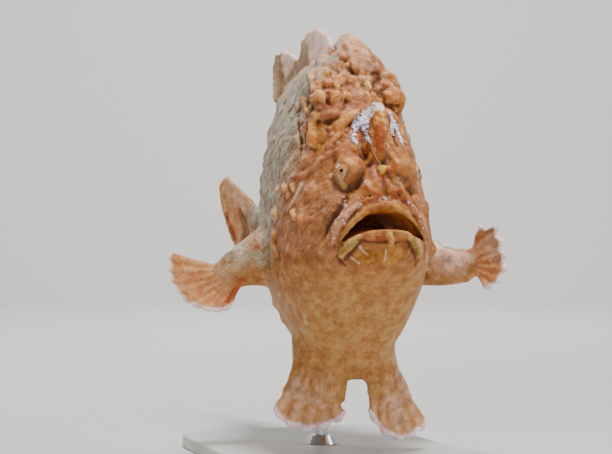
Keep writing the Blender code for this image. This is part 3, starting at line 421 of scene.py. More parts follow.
# Fleshy lobes seen in the picture: a tint, how proud they stand as a share of the radius, and a chain of
# column, row and radius in mm. The tint "plain" gives a shape without a colour of its own
LOBES = {
    "crown_shelf_outer": ("orange", 0.42, ((315, 98, 2.6), (320, 96, 3.4), (325, 99, 2.8))),
    "crown_shelf_middle": ("orange", 0.42, ((331, 98, 2.8), (336, 96, 3.2), (340, 99, 2.6))),
    "crown_shelf_inner": ("orange", 0.35, ((344, 95, 2.4), (348, 97, 2.0))),
    "crown_slope": ("rose", 0.0, ((319, 106, 3.6), (329, 107, 3.8), (338, 105, 3.2))),
    "crown_slope_low": ("rose", -0.1, ((322, 114, 3.4), (334, 113, 3.2))),
    "hanging_fold": ("orange", 0.1, (
        (316, 115, 3.4), (314, 124, 3.7), (312, 133, 3.9), (312, 140, 3.4), (316, 146, 2.0),
    )),
    "hanging_fold_side": ("rose", 0.0, ((322, 118, 3.0), (322, 127, 2.8), (321, 136, 2.4))),
    "brow_fold": ("orange", 0.2, (
        (357, 112, 1.7), (352, 116, 2.3), (347, 119, 2.8), (343, 123, 3.1), (341, 127, 2.4),
    )),
    "brow_fold_end": ("orange", 0.2, ((340, 129, 1.8), (343, 133, 1.2))),
    "brow_fold_second": ("red", 0.2, ((356, 126, 1.1), (351, 129, 1.4), (346, 132, 1.4))),
    "brow_fold_third": ("orange", 0.2, ((339, 134, 1.3), (334, 140, 1.7), (331, 144, 1.2))),
    "temple_fold": ("rose", -0.3, ((347, 142, 1.3), (338, 149, 1.5), (328, 155, 1.4), (318, 163, 1.2))),
    "crown_knob_a": ("yellow", 0.3, ((325, 70, 1.9), (326, 74, 2.1))),
    "crown_knob_b": ("yellow", 0.3, ((311, 75, 2.0), (312, 79, 2.1))),
    "crown_knob_c": ("orange", 0.3, ((313, 85, 2.4), (314, 89, 2.4))),
    "crown_knob_d": ("red", 0.2, ((325, 82, 1.6), (328, 84, 1.7))),
    "crown_knob_e": ("orange", 0.3, ((336, 83, 1.3), (337, 87, 1.6))),
    "crown_knob_f": ("orange", 0.3, ((304, 100, 1.9), (306, 106, 2.1), (307, 111, 1.5))),
    "crown_knob_g": ("orange", 0.3, ((297, 104, 1.2), (298, 109, 1.4))),
    "crown_knob_h": ("yellow", 0.2, ((367, 84, 1.6), (369, 88, 1.8))),
    "crown_knob_i": ("orange", 0.3, ((366, 94, 1.8), (368, 98, 1.9))),
    "crown_knob_j": ("orange", 0.1, ((373, 94, 1.2), (377, 98, 1.2))),
    "crown_knob_k": ("yellow", 0.2, ((357, 85, 1.3),)),
    "spine_wart_a": ("red", 0.45, ((343, 54, 2.3), (344, 58, 2.6))),
    "spine_wart_b": ("red", 0.4, ((354, 65, 2.4), (356, 69, 2.4))),
    "spine_wart_c": ("orange", 0.45, ((361, 73, 1.9),)),
    "spine_wart_d": ("orange", 0.45, ((368, 62, 1.9),)),
    "spine_wart_e": ("orange", 0.2, ((357, 51, 1.8),)),
    "spine_wart_f": ("orange", 0.2, ((347, 44, 1.8),)),
    "spine_wart_g": ("yellow", 0.3, ((362, 77, 1.3),)),
    "spine_wart_h": ("rose", 0.1, ((376, 66, 2.2), (380, 74, 2.2))),
    "shoulder_knob_a": ("orange", 0.3, ((390, 77, 2.3),)),
    "shoulder_knob_b": ("red", 0.3, ((386, 85, 1.9),)),
    "shoulder_shelf": ("orange", 0.3, ((386, 94, 2.0), (391, 97, 2.7), (395, 101, 2.3))),
    "shoulder_shelf_end": ("orange", 0.35, (
        (399, 94, 2.4), (401, 99, 2.8), (401, 106, 2.0), (400, 112, 1.3),
    )),
    "brow_fold_left": ("orange", 0.2, (
        (388, 111, 1.3), (393, 115, 1.6), (397, 120, 1.6), (400, 127, 1.4), (402, 135, 1.1),
    )),
    "spine_foot_right": ("red", 0.2, ((352, 150, 1.2), (354, 152, 1.2))),
    "spine_foot_middle": ("red", 0.3, ((365, 145, 1.4), (366, 150, 1.6))),
    "crest_right": ("orange", 0.2, ((371, 154, 1.2), (369, 159, 1.4), (366, 163, 1.3))),
    "crest_left": ("orange", 0.2, ((391, 154, 1.2), (394, 158, 1.4), (397, 162, 1.2))),
    "shoulder_left": ("plain", -0.1, (
        (431, 252, 5.5), (434, 248, 5.5), (438, 251, 5.2), (442, 253, 4.6), (447, 254, 3.8),
        (453, 255, 3.0),
    )),
    "shoulder_left_low": ("plain", -0.2, ((432, 256, 7.0), (432, 264, 7.0), (433, 272, 6.0))),
    "spine_root": ("plain", -0.2, (
        (344, 75, 4.0), (351, 79, 4.0), (359, 80, 4.0), (367, 80, 4.0), (375, 77, 3.5),
    )),
    "shoulder_fill": ("plain", -0.1, (
        (338, 57, 5.0), (334, 62, 6.5), (339, 68, 5.5), (328, 66, 6.0), (322, 60, 5.5),
    )),
    "shoulder_fill_left": ("plain", -0.2, ((375, 60, 4.0), (380, 68, 4.5), (384, 76, 4.0))),
    "hanging_fold_fill": ("plain", -0.1, ((321, 141, 2.6), (323, 134, 2.6))),
    "ankle_right": ("plain", 0.0, (
        (294, 366, 3.0), (292, 374, 3.6), (289, 382, 4.2), (286, 390, 3.8), (282, 398, 2.6),
    )),
    "ankle_left": ("plain", 0.0, ((399, 372, 3.0), (402, 380, 3.6), (405, 388, 3.6), (409, 396, 2.8))),
    "ankle_right_inner": ("plain", 0.0, (
        (345, 388, 2.6), (343, 395, 2.8), (341, 402, 2.8), (340, 409, 2.4),
    )),
    "ankle_left_inner": ("plain", 0.0, (
        (368, 388, 2.4), (370, 395, 2.6), (372, 402, 2.6), (375, 409, 2.2),
    )),
    "nose_knob": ("gold", 0.5, ((380, 168, 1.5), (384, 168, 1.7), (382, 172, 1.5))),
    "nose_knob_side": ("pink", 0.4, ((374, 165, 1.1), (373, 170, 1.4), (375, 175, 1.1))),
    "nose_knob_left": ("pink", 0.3, ((389, 166, 1.0), (390, 171, 1.1))),
    "snout_swelling": ("blush", 0.0, ((366, 183, 2.2), (369, 185, 1.8))),
    "snout_swelling_left": ("blush", 0.0, ((400, 185, 1.6), (402, 188, 1.4))),
    "nostril_ridge_high": ("red", 0.5, (
        (367, 187, 1.0), (371, 190, 1.3), (375, 192, 1.2), (380, 194, 0.9),
    )),
    "nostril_ridge_low": ("red", 0.5, ((364, 202, 0.9), (368, 200, 1.3), (373, 198, 1.3), (378, 196, 0.9))),
    "nostril_ridge_left": ("red", 0.5, (
        (391, 193, 0.9), (395, 191, 1.3), (400, 190, 1.3), (403, 193, 1.2), (405, 199, 0.9),
    )),
    "nostril_ridge_left_low": ("red", 0.45, ((393, 196, 0.9), (397, 197, 1.1), (402, 199, 0.9))),
    "upper_lip": ("ochre", 0.1, (
        (337, 243, 1.2), (341, 237, 1.7), (347, 229, 2.0), (354, 221, 2.1), (362, 214, 2.1),
        (370, 209, 2.1), (379, 206, 2.1), (388, 206, 2.1), (396, 208, 2.1), (404, 213, 2.1),
        (411, 220, 2.0), (417, 229, 1.9), (421, 238, 1.5),
    )),
    "cheek_ridge_right": ("frost", 0.25, (
        (358, 205, 1.5), (351, 210, 2.0), (344, 216, 2.4), (338, 223, 2.8), (335, 231, 2.6),
        (334, 239, 1.9),
    )),
    "cheek_ridge_left": ("frost", 0.15, (
        (409, 202, 1.4), (414, 209, 1.7), (419, 217, 1.9), (423, 226, 1.9), (425, 236, 1.5),
    )),
    "lower_lip": ("ochre", 0.15, (
        (347, 240, 1.1), (354, 235, 1.5), (362, 232, 1.8), (371, 230, 1.9), (381, 230, 1.9),
        (391, 230, 1.9), (401, 232, 1.8), (409, 235, 1.5), (415, 240, 1.1),
    )),
    "jaw_knob": ("yellow", 0.2, ((388, 228, 1.3), (389, 234, 1.7), (391, 240, 1.8), (391, 244, 1.5))),
    "jaw_pad_right": ("green", 0.3, (
        (359, 237, 1.5), (354, 242, 2.1), (348, 247, 2.4), (343, 252, 2.2), (340, 257, 1.5),
    )),
    "jaw_pad_left": ("green", 0.3, (
        (409, 237, 1.3), (414, 241, 1.9), (418, 246, 2.1), (420, 251, 1.9), (420, 256, 1.3),
    )),
    "corner_fold_right": ("rose", 0.1, (
        (331, 245, 1.6), (330, 252, 1.8), (333, 260, 1.7), (338, 266, 1.4),
    )),
    "corner_fold_left": ("pale", 0.1, ((426, 243, 1.2), (426, 252, 1.2), (426, 262, 1.1), (427, 273, 0.9))),
    "chin_line_a": ("pale", 0.3, ((360, 247, 0.9), (363, 251, 0.7), (367, 255, 0.5))),
    "chin_line_b": ("pale", 0.3, ((351, 257, 0.6), (355, 260, 0.6), (359, 263, 0.5))),
    "chin_line_c": ("pale", 0.2, ((386, 250, 0.5), (385, 256, 0.5), (384, 262, 0.4))),
    "chin_line_d": ("pale", 0.2, ((411, 248, 0.5), (409, 253, 0.5), (406, 257, 0.4))),
    "eye_pouch_right": ("green", 0.1, ((342, 183, 1.6), (345, 187, 1.4))),
    "eye_pouch_left": ("ochre", 0.1, ((407, 184, 1.8), (410, 180, 1.5))),
    "temple_wart": ("pale", 0.3, ((332, 176, 1.2),)),
    "flank_wart_a": ("orange", 0.13, ((274, 211, 2.6), (275, 215, 2.6))),
    "flank_wart_b": ("orange", 0.08, (
        (274, 231, 2.2), (275, 236, 2.4), (274, 243, 1.9), (276, 250, 1.7), (278, 256, 1.6),
    )),
    "flank_wart_c": ("orange", 0.13, ((293, 213, 2.2), (295, 217, 1.8))),
    "flank_wart_d": ("orange", 0.13, ((301, 219, 2.0), (302, 223, 1.4))),
    "flank_wart_e": ("orange", 0.08, ((284, 186, 1.8), (286, 190, 1.8))),
    "flank_wart_f": ("orange", 0.08, ((292, 186, 1.6), (293, 190, 1.4))),
    "flank_wart_g": ("orange", 0.08, ((288, 196, 1.8),)),
    "flank_wart_h": ("pale", -0.3, ((301, 185, 2.0), (298, 191, 1.6), (294, 199, 1.2), (290, 207, 1.1))),
    "flank_wart_i": ("rose", -0.3, ((292, 177, 1.3), (299, 176, 1.7), (307, 173, 1.6), (315, 167, 1.2))),
    "flank_wart_j": ("orange", 0.08, ((277, 190, 1.9),)),
    "flank_wart_k": ("rose", -0.3, ((312, 182, 1.8), (309, 190, 1.4), (305, 198, 1.1))),
    "flank_wart_l": ("orange", -0.02, ((283, 200, 1.3),)),
    "flank_wart_m": ("rose", -0.3, ((309, 148, 1.3), (305, 158, 1.5), (299, 168, 1.2))),
    "flank_wart_n": ("grey", -0.02, ((299, 133, 1.2), (297, 141, 1.5), (299, 147, 1.1))),
    "flank_wart_o": ("grey", -0.02, ((278, 152, 1.2), (278, 157, 1.3))),
    "belly_wart_a": ("pale", 0.2, ((289, 245, 1.0), (288, 250, 1.2))),
    "belly_wart_b": ("orange", 0.2, ((296, 274, 1.4),)),
    "belly_wart_c": ("pale", 0.2, ((280, 294, 1.2),)),
    "belly_wart_d": ("pale", 0.2, ((305, 316, 1.0), (306, 321, 1.1))),
    "belly_wart_e": ("orange", 0.1, ((307, 283, 1.1),)),
    "belly_wart_f": ("rose", 0.1, ((327, 272, 1.4),)),
}
LOBE_STEP = 2.0
# The lift of all lobes, and how deep the centre of one that isn't proud lies, as shares of the radius
LOBE_LIFT = 0.12
LOBE_SINK = 0.35

# Creases and pits: a chain of column, row, radius and depth in mm
CREASE_STEP = 1.5
CREASE_WIDENING = 1.4
CREASE_DEEPENING = 1.1
CREASES = {
    "shelf_gap_outer": ((328, 92, 1.2, 0.8), (328, 103, 1.3, 0.9)),
    "shelf_gap_inner": ((342, 91, 1.0, 0.7), (342, 101, 1.2, 0.8)),
    "under_slope": ((319, 121, 1.4, 0.5), (328, 122, 1.5, 0.6), (338, 118, 1.3, 0.5)),
    "under_brow_fold": ((358, 118, 1.0, 0.5), (353, 123, 1.0, 0.6), (349, 129, 1.0, 0.5)),
    "crown_pit_a": ((330, 74, 0.9, 0.9),),
    "crown_pit_b": ((350, 75, 0.9, 0.9),),
    "crown_pit_c": ((342, 86, 0.9, 0.9),),
    "spine_gap": ((334, 46, 1.2, 0.6), (337, 54, 1.2, 0.4)),
    "spine_gap_left": ((371, 52, 1.2, 0.4), (375, 62, 1.2, 0.4)),
    "forehead_trough_right": ((366, 118, 2.0, 0.8), (364, 132, 2.2, 1.4), (363, 141, 2.0, 1.0)),
    "forehead_trough_left": ((392, 125, 1.4, 1.0), (394, 134, 1.8, 1.8), (397, 143, 1.4, 1.0)),
    "dome_edge_right": (
        (356, 187, 1.5, 0.8), (362, 180, 1.4, 0.8), (366, 172, 1.4, 0.7), (367, 166, 1.2, 0.5),
    ),
    "dome_edge_left": ((390, 178, 1.2, 0.6), (392, 182, 1.2, 0.6), (399, 186, 1.2, 0.5)),
    "nose_groove": ((384, 178, 1.0, 0.8), (384, 186, 1.1, 1.0), (386, 195, 1.0, 0.9)),
    "nostril_right": ((370, 196, 0.8, 0.8),),
    "nostril_left": ((399, 195, 0.7, 0.7),),
    "cheek_edge": (
        (346, 198, 1.8, 1.2), (340, 207, 1.8, 1.2), (333, 215, 1.8, 1.2), (327, 226, 1.8, 1.0),
        (323, 240, 1.6, 0.6),
    ),
    "cheek_edge_left": ((409, 190, 1.2, 0.7), (413, 200, 1.2, 0.7), (420, 210, 1.2, 0.7)),
    "lip_inner_line": (
        (358, 240, 0.9, 0.6), (367, 242, 1.0, 0.8), (378, 243, 1.0, 0.9), (386, 243, 0.9, 0.7),
    ),
    "lip_inner_line_left": ((396, 243, 0.9, 0.7), (403, 241, 0.9, 0.6), (409, 242, 0.8, 0.5)),
    "pad_edge_right": (
        (362, 241, 0.9, 0.6), (356, 248, 1.0, 0.8), (350, 255, 1.0, 0.8), (344, 261, 1.0, 0.8),
    ),
    "pad_edge_left": (
        (407, 241, 0.8, 0.6), (411, 247, 0.9, 0.7), (414, 254, 0.9, 0.7), (416, 261, 0.9, 0.7),
    ),
    "corner_right": ((337, 257, 1.1, 1.0), (341, 262, 1.2, 1.2), (345, 266, 1.0, 0.7)),
    "corner_left": ((421, 257, 0.9, 0.8), (418, 262, 1.0, 1.0), (415, 266, 0.9, 0.6)),
    "flank_crease_a": ((271, 160, 1.0, 0.4), (272, 178, 1.1, 0.5), (274, 190, 1.0, 0.4)),
    "flank_crease_b": ((280, 150, 1.0, 0.4), (279, 168, 1.1, 0.5), (279, 183, 1.0, 0.4)),
    "flank_crease_c": (
        (299, 112, 1.0, 0.6), (298, 128, 1.2, 0.9), (302, 146, 1.2, 0.8), (300, 156, 1.0, 0.5),
    ),
    "flank_crease_d": ((306, 115, 1.1, 0.8), (306, 130, 1.2, 0.9), (306, 142, 1.1, 0.7)),
    "arm_edge": ((272, 205, 1.3, 0.8), (272, 222, 1.3, 0.9)),
}

# Colours without relief: a tint and a chain of column, row and radius in mm
STAIN_STEP = 2.0
STAINS = {
    # The spine's own pale tip, brightened by a painted highlight
    "spine_tip": ("ivory_and_highlight", ((375, 107, 2.0), (379, 105, 2.2), (382, 108, 1.6))),
    "spine_top": ("orange", ((378, 113, 2.8), (380, 119, 3.2))),
    "spine_core": ("red", ((380, 125, 2.2), (379, 133, 2.8), (380, 141, 2.6), (380, 149, 2.0))),
    "spine_side_right": ("rose", ((370, 124, 1.2), (371, 136, 1.4), (374, 148, 1.4))),
    "spine_side_left": ("rose", ((389, 124, 1.2), (389, 136, 1.2), (387, 148, 1.2))),
    "frill_bed": ("red", ((359, 133, 1.8), (362, 138, 2.2), (358, 140, 1.4))),
    # Painted shade: a near-black patch in the hollow beside the second spine
    "frill_shade": ("recess_shade", ((392, 128, 1.2), (393, 134, 1.8), (395, 140, 1.6), (397, 146, 1.2))),
    "wrist_rim_right": ("red", ((243, 279, 1.2), (238, 285, 1.6), (233, 294, 1.8), (228, 301, 1.4))),
    "palate": ("red", (
        (372, 215, 1.4), (380, 212, 1.6), (389, 213, 1.6), (397, 216, 1.4), (404, 222, 1.4),
    )),
    # Painted highlights: glints on the arm, the cheek and the crown, laid on as pale specks
    "arm_glint": ("frost", ((257, 238, 0.9), (262, 231, 0.8), (268, 226, 0.9))),
    "cheek_glint": ("frost", ((344, 192, 0.9), (344, 199, 1.3), (345, 206, 1.2), (341, 212, 1.0))),
    "crown_glint": ("frost", ((352, 93, 1.2), (356, 93, 1.2))),
    # Painted highlight: orange on the upper left of the right eye dome
    "eye_highlight_right": ("orange", ((347, 160, 1.4), (350, 162, 1.4))),
    # Painted shade: brown on the lower sides of both eye domes
    "eye_shade_right": ("brown_shade", ((362, 172, 2.2), (360, 179, 2.4), (355, 184, 2.4), (349, 187, 1.8))),
    "eye_shade_left": ("brown_shade", ((396, 177, 2.0), (402, 180, 2.4), (408, 181, 1.8))),
    "eye_pale_right": ("pale", ((337, 171, 1.0), (339, 178, 1.0), (342, 181, 0.9))),
    "brow_lilac": ("rose", ((356, 157, 1.6), (362, 155, 1.4), (356, 162, 1.2))),
    "lip_line": ("red", (
        (364, 240, 0.9), (374, 241, 1.0), (384, 241, 1.0), (400, 240, 0.9), (408, 239, 0.8),
    )),
    "lip_corner_left": ("ochre", ((413, 224, 1.6), (418, 232, 1.6), (421, 239, 1.2))),
    "tail_root": ("grey", ((257, 204, 3.0), (253, 213, 3.5), (252, 222, 3.0))),
    "third_spine": ("blush", ((348, 46, 8.0), (357, 55, 8.0), (365, 66, 7.0))),
    # Painted shade: the lower part of the tail darker
    "tail_shade": ("brown_shade", ((240, 212, 2.5), (244, 222, 3.5), (247, 232, 3.5), (243, 240, 2.5))),
    "leg_side_right": ("blush", ((296, 384, 3.6), (295, 392, 4.5), (305, 398, 4.0), (318, 402, 3.5))),
    "leg_side_left": ("blush", (
        (394, 352, 2.5), (397, 364, 3.5), (401, 376, 4.0), (406, 388, 4.0), (411, 400, 3.5),
    )),
    # The left arm's pale top is partly its own cream colour and partly painted light; its lower side is painted
    # shade
    "arm_left_pale_lit_top": ("cream", ((437, 247, 4.5), (446, 254, 4.5), (456, 257, 4.5), (466, 260, 4.0))),
    "arm_left_shaded_low": ("blush", ((438, 262, 4.0), (449, 268, 4.0), (460, 272, 3.5))),
    "arm_right_top": ("grey", ((262, 258, 4.5), (252, 258, 4.5), (242, 260, 4.0), (234, 262, 3.0))),
    # Painted shade: darker ochre on the chin under the lower lip
    "chin": ("ochre", (
        (364, 257, 4.5), (373, 259, 4.5), (382, 260, 4.5), (391, 259, 4.5), (400, 256, 4.0),
    )),
    "dorsal_front": ("cream", (
        (309, 36, 6.0), (318, 35, 6.0), (326, 40, 6.0), (324, 50, 7.0), (312, 52, 7.0),
    )),
    "dorsal_rear": ("cream", ((284, 58, 4.0), (292, 60, 4.0), (286, 70, 4.0))),
    "tail_top": ("blush", ((228, 184, 3.5), (236, 194, 4.5), (244, 204, 4.5))),
    "hand_left": ("blush", ((484, 247, 4.5), (493, 240, 4.5), (494, 255, 4.5))),
    "leg_front_left": ("blush", ((392, 394, 3.6), (396, 408, 5.0), (402, 420, 4.0))),
    "under_nose": ("red", ((381, 176, 1.4), (384, 180, 1.2))),
    "tail_edge": ("red", ((226, 215, 2.2), (230, 226, 2.4), (235, 238, 2.2))),
    "flank_brown": ("ochre", ((318, 126, 3.0), (322, 138, 2.6), (318, 150, 2.4))),
}

# The lure's frill lies on the forehead on both sides of the second spine. Its rod runs up from the snout.
# Chains of column, row and radius in mm
FRILL = (
    (
        (377, 105, 1.4), (372, 108, 1.8), (367, 112, 2.2), (362, 116, 2.4), (358, 121, 2.4),
        (355, 127, 2.0), (353, 133, 1.6), (353, 139, 1.5), (357, 144, 1.0),
    ),
    ((372, 113, 1.6), (369, 119, 2.0), (366, 125, 2.2), (366, 131, 1.8), (368, 137, 1.4), (371, 142, 1.2)),
    ((367, 115, 2.2), (364, 119, 2.4), (361, 125, 2.4), (358, 129, 1.6)),
    ((360, 119, 2.0), (363, 123, 2.0), (364, 128, 1.6)),
    ((389, 113, 0.8), (391, 118, 1.0), (394, 124, 1.3), (397, 131, 1.4), (399, 138, 1.2), (402, 144, 0.9)),
    ((391, 121, 0.9), (391, 128, 1.1), (392, 134, 0.9)),
)
ROD = ((380, 165, 0.6), (377, 159, 0.55), (374, 153, 0.55), (372, 147, 0.55), (371, 140, 0.55))

# Granules: tint, how many, columns and rows from and to, radius from and to in mm
GRAINS = {
    "spine": ("orange", 50, (371, 388), (110, 150), (0.8, 1.3)),
    "spine_top": ("yellow", 16, (374, 385), (106, 122), (0.8, 1.2)),
    "forehead": ("rose", 36, (338, 372), (80, 112), (0.7, 1.2)),
    "third_spine": ("orange", 14, (342, 372), (42, 76), (0.9, 1.7)),
    "shoulder": ("orange", 22, (378, 404), (66, 112), (1.0, 1.9)),
    "crown": ("orange", 16, (303, 345), (66, 104), (1.0, 1.9)),
    "temple": ("rose", 24, (300, 335), (110, 160), (0.9, 1.7)),
    "snout": ("plain", 34, (360, 408), (176, 203), (0.7, 1.1)),
    "lip": ("pale", 26, (378, 395), (197, 206), (0.6, 0.9)),
    "cheek": ("rose", 30, (298, 345), (185, 250), (0.8, 1.4)),
}
GRAIN_SEED = 3
GRAIN_PROUD = 0.15


def grain_chains():
    """The granules as lobes of one ball each."""
    draw = random.Random(GRAIN_SEED)
    for tint, count, columns, rows, radii in GRAINS.values():
        for _ in range(count):
            yield tint, GRAIN_PROUD, ((draw.uniform(*columns), draw.uniform(*rows), draw.uniform(*radii)),)


def lobe_balls(surface):
    """Balls for every lobe, set on the flesh, and the marks that tint them later."""
    places, marks = [], []
    for tint, proud, chain in [*LOBES.values(), *grain_chains()]:
        for hit, facing, radius in seen_along(surface, chain, LOBE_STEP):
            centre = hit + facing * (radius * MM * (proud + LOBE_LIFT - LOBE_SINK))
            places.append((centre, radius * MM))
            marks.append((centre, radius * MM, tint))
    return balls("lobes", places), marks


def stain_marks(surface):
    """Places, radii and tints of the stains on the finished skin."""
    marks = []
    for tint, chain in STAINS.values():
        marks += [(hit, radius * MM, tint) for hit, _, radius in seen_along(surface, chain, STAIN_STEP)]
    return marks


# Knobs at the ray tips: fin, radius in mm, and the share across where they end
TIPS = (
    ("pectoral_fin_right", 1.25, 0.55),
    ("pectoral_fin_left", 1.10, 1.0),
    ("pelvic_fin_right", 1.10, 1.0),
    ("pelvic_fin_left", 1.10, 1.0),
)
# Thick rims: fin, and the share across where they start. Their radius in mm goes up and down a little
RIMS = (("pectoral_fin_right", 0.45), ("pelvic_fin_right", 0.0), ("pelvic_fin_left", 0.0))
RIM_BEADS = 60
RIM_RADIUS = 1.15
RIM_UNEVENNESS = 0.2
# Knobs and rims lie at these shares of the way out
TIP_OUT = 0.99
RIM_OUT = 0.985


def ray_tips():
    """Round knobs at the rays' tips, and a thick uneven rim on the rest of the right hand and on the feet."""
    places = []
    for name, radius, last in TIPS:
        place, rays = FINS[name][:2]
        shares = [(k + 0.5) / rays for k in range(rays)]
        places += [(place(TIP_OUT, share), radius * MM) for share in shares if share < last]
    for name, first in RIMS:
        place = FINS[name][0]
        for k in range(RIM_BEADS):
            share = first + (1 - first) * k / (RIM_BEADS - 1)
            places.append((place(RIM_OUT, share), (RIM_RADIUS + RIM_UNEVENNESS * math.sin(1.7 * k)) * MM))
    return balls("ray_tips", places)


# The mouth, an arch that hangs down at its corners: its edges above the middle, and how round both arches are
MOUTH_HALF_WIDTH = 0.0250
CORNER_UP = -0.0088
UPPER_EDGE_UP = 0.0072
LOWER_EDGE_UP = -0.0016
UPPER_ARCH = 2.8
LOWER_ARCH = 2.4
OVERLAP = 0.0006
MOUTH_STEPS = 12

# The rings of the opening: how far each lies behind the lips, and its width as a share of the mouth's
MOUTH_RINGS = ((-0.016, 1.0), (0.006, 1.0), (0.014, 0.9), (0.023, 0.7))


def mouth_cutter():
    """The opening between the lips, wide in front and narrow inside."""
    shape = bmesh.new()
    rings = []
    for back, narrowing in MOUTH_RINGS:
        ring = []
        for k in range(2 * MOUTH_STEPS + 1):
            share = k / MOUTH_STEPS - 1
            rise = UPPER_EDGE_UP + OVERLAP + (CORNER_UP - UPPER_EDGE_UP) * abs(share) ** UPPER_ARCH
            ring.append(at(share * MOUTH_HALF_WIDTH * narrowing, back, rise * narrowing))
        for k in range(1, 2 * MOUTH_STEPS):
            share = 1 - k / MOUTH_STEPS
            rise = LOWER_EDGE_UP + (CORNER_UP - OVERLAP - LOWER_EDGE_UP) * abs(share) ** LOWER_ARCH
            ring.append(at(share * MOUTH_HALF_WIDTH * narrowing, back, rise * narrowing))
        rings.append([shape.verts.new(point) for point in ring])
    for near, far in zip(rings, rings[1:]):
        for k in range(len(near)):
            after = (k + 1) % len(near)
            shape.faces.new((near[k], near[after], far[after], far[k]))
    shape.faces.new(rings[0])
    shape.faces.new(rings[-1])
    bmesh.ops.recalc_face_normals(shape, faces=shape.faces)
    mesh = bpy.data.meshes.new("mouth_cutter")
    shape.to_mesh(mesh)
    shape.free()
    cutter = bpy.data.objects.new("mouth_cutter", mesh)
    bpy.context.scene.collection.objects.link(cutter)
    return cutter


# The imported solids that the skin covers, besides the fins
FLESH_NODES = (
    "head",
    "lower_jaw",
    "torso",
    "tail_stem",
    "pectoral_arm_right",
    "pectoral_arm_left",
    "pelvic_leg_right",
    "pelvic_leg_left",
    "dorsal_spine_second",
    "dorsal_spine_third",
)
# Each eye's centre across, behind the lips and above the mouth. A round lid lies a little behind the ball
EYE_CENTRE = (0.0192, 0.0104, 0.0307)
EYE_RADIUS = 0.0060
EYELID_RADIUS = 0.0069
EYELID_SETBACK = 0.0012


def eye_place(side):
    """The centre of an eye, -1 for the right and 1 for the left."""
    return at(side * EYE_CENTRE[0], *EYE_CENTRE[1:])


def gaze_of(side):
    """The direction in which an eye looks."""
    return Vector((side * 0.70, -0.71, 0.06)).normalized()


# The mesh of the flesh alone, on which the lobes are set, and that of the finished skin
COARSE_VOXEL = 0.0014
FINE_VOXEL = 0.00084


def closed_flesh():
    """All the flesh and fins in one closed skin, with the lobes of the head and the opening of the mouth."""
    flesh = merged("skin", [copy_of_node(name) for name in FLESH_NODES])
    sheets, fin_marks = [], {}
    for name in FINS:
        sheet, marks = fin_sheet(name)
        sheets.append(sheet)
        fin_marks[name] = marks
    lids = [(eye_place(side) - gaze_of(side) * EYELID_SETBACK, EYELID_RADIUS) for side in (-1, 1)]
    flesh = merged("skin", [flesh, balls("eyelids", lids), tapers()])
    finish_with(flesh, "Remesh", "REMESH", mode="VOXEL", voxel_size=COARSE_VOXEL)
    finish_with(flesh, "Smooth", "SMOOTH", iterations=2)
    surface = surface_of(flesh)
    lobes, marks = lobe_balls(surface)
    flesh = merged("skin", [flesh, lobes, ray_tips()] + sheets)
    finish_with(flesh, "Remesh", "REMESH", mode="VOXEL", voxel_size=FINE_VOXEL)
    cutter = mouth_cutter()
    finish_with(flesh, "Mouth", "BOOLEAN", operation="DIFFERENCE", solver="MANIFOLD", object=cutter)
    bpy.data.objects.remove(cutter)
    finish_with(flesh, "Remesh", "REMESH", mode="VOXEL", voxel_size=FINE_VOXEL)
    finish_with(flesh, "Smooth", "SMOOTH", iterations=2)
    calm_joints(flesh, surface)
    return flesh, marks, fin_marks


# Where limbs are calmed: fins and the share of the way out, and columns and rows, with the radius of each
CALM_FANS = (
    ("pectoral_fin_right", 0.05, 0.020),
    ("pectoral_fin_left", 0.05, 0.016),
    ("pelvic_fin_right", 0.15, 0.027),
    ("pelvic_fin_left", 0.15, 0.026),
    ("caudal_fin", 0.10, 0.016),
)
CALM_PLACES = ((268, 275, 0.014), (268, 235, 0.012), (432, 250, 0.012), (322, 352, 0.022), (388, 345, 0.020))
CALM_PASSES = 90
CALM_STRENGTH = 1.8


def calm_joints(flesh, surface):
    """Lets limbs flow into the body and into their fans, by averaging over neighbouring points."""
    spots = [(FINS[name][0](out, 0.5), radius) for name, out, radius in CALM_FANS]
    for column, row, radius in CALM_PLACES:
        spots.append((on_surface(surface, column, row)[0], radius))
    mesh = flesh.data
    points = points_of(mesh)
    count = len(points)
    weight = np.zeros(count)
    for place, radius in spots:
        away = np.linalg.norm(points - np.array(place), axis=1)
        weight = np.maximum(weight, np.clip(CALM_STRENGTH * (1 - away / radius), 0, 1))
    edges = numbers_of(mesh.edges, "vertices", 2, np.int32)
    edges = edges[(weight[edges] > 0).any(axis=1)]
    links = np.maximum(np.bincount(edges.ravel(), minlength=count), 1)
    for _ in range(CALM_PASSES):
        for axis in range(3):
            total = np.bincount(edges[:, 0], points[edges[:, 1], axis], count)
            total += np.bincount(edges[:, 1], points[edges[:, 0], axis], count)
            points[:, axis] += 0.5 * weight * (total / links - points[:, axis])
    mesh.vertices.foreach_set("co", points.astype(np.float32).ravel())
    mesh.update()


# The skin's faces are thinned to this many triangles, the plain places first
SKIN_TRIANGLES = 196000
THIN_LEVELS = 12
THIN_SPREAD = 0.88


def thin_out(flesh, keep):
    """Fewer faces where the skin is plain: keep is 1 where most of them stay."""
    group = flesh.vertex_groups.new(name="thin")
    for level in range(THIN_LEVELS):
        chosen = np.nonzero(np.round(keep * (THIN_LEVELS - 1)) == level)[0]
        group.add(chosen.tolist(), 1 - THIN_SPREAD * level / (THIN_LEVELS - 1), "REPLACE")
    ratio = SKIN_TRIANGLES / sum(len(face.vertices) - 2 for face in flesh.data.polygons)
    finish_with(
        flesh, "Decimate", "DECIMATE", ratio=min(1.0, ratio), vertex_group="thin", vertex_group_factor=1.0
    )
    flesh.vertex_groups.clear()


def numbers_of(items, key, size, kind=np.float32):
    """A mesh's numbers as an array, a row for each item."""
    flat = np.empty(len(items) * size, kind)
    items.foreach_get(key, flat)
    return flat.reshape(-1, size)


def points_of(mesh):
    """A mesh's points, a row for each."""
    return numbers_of(mesh.vertices, "co", 3).astype(float)


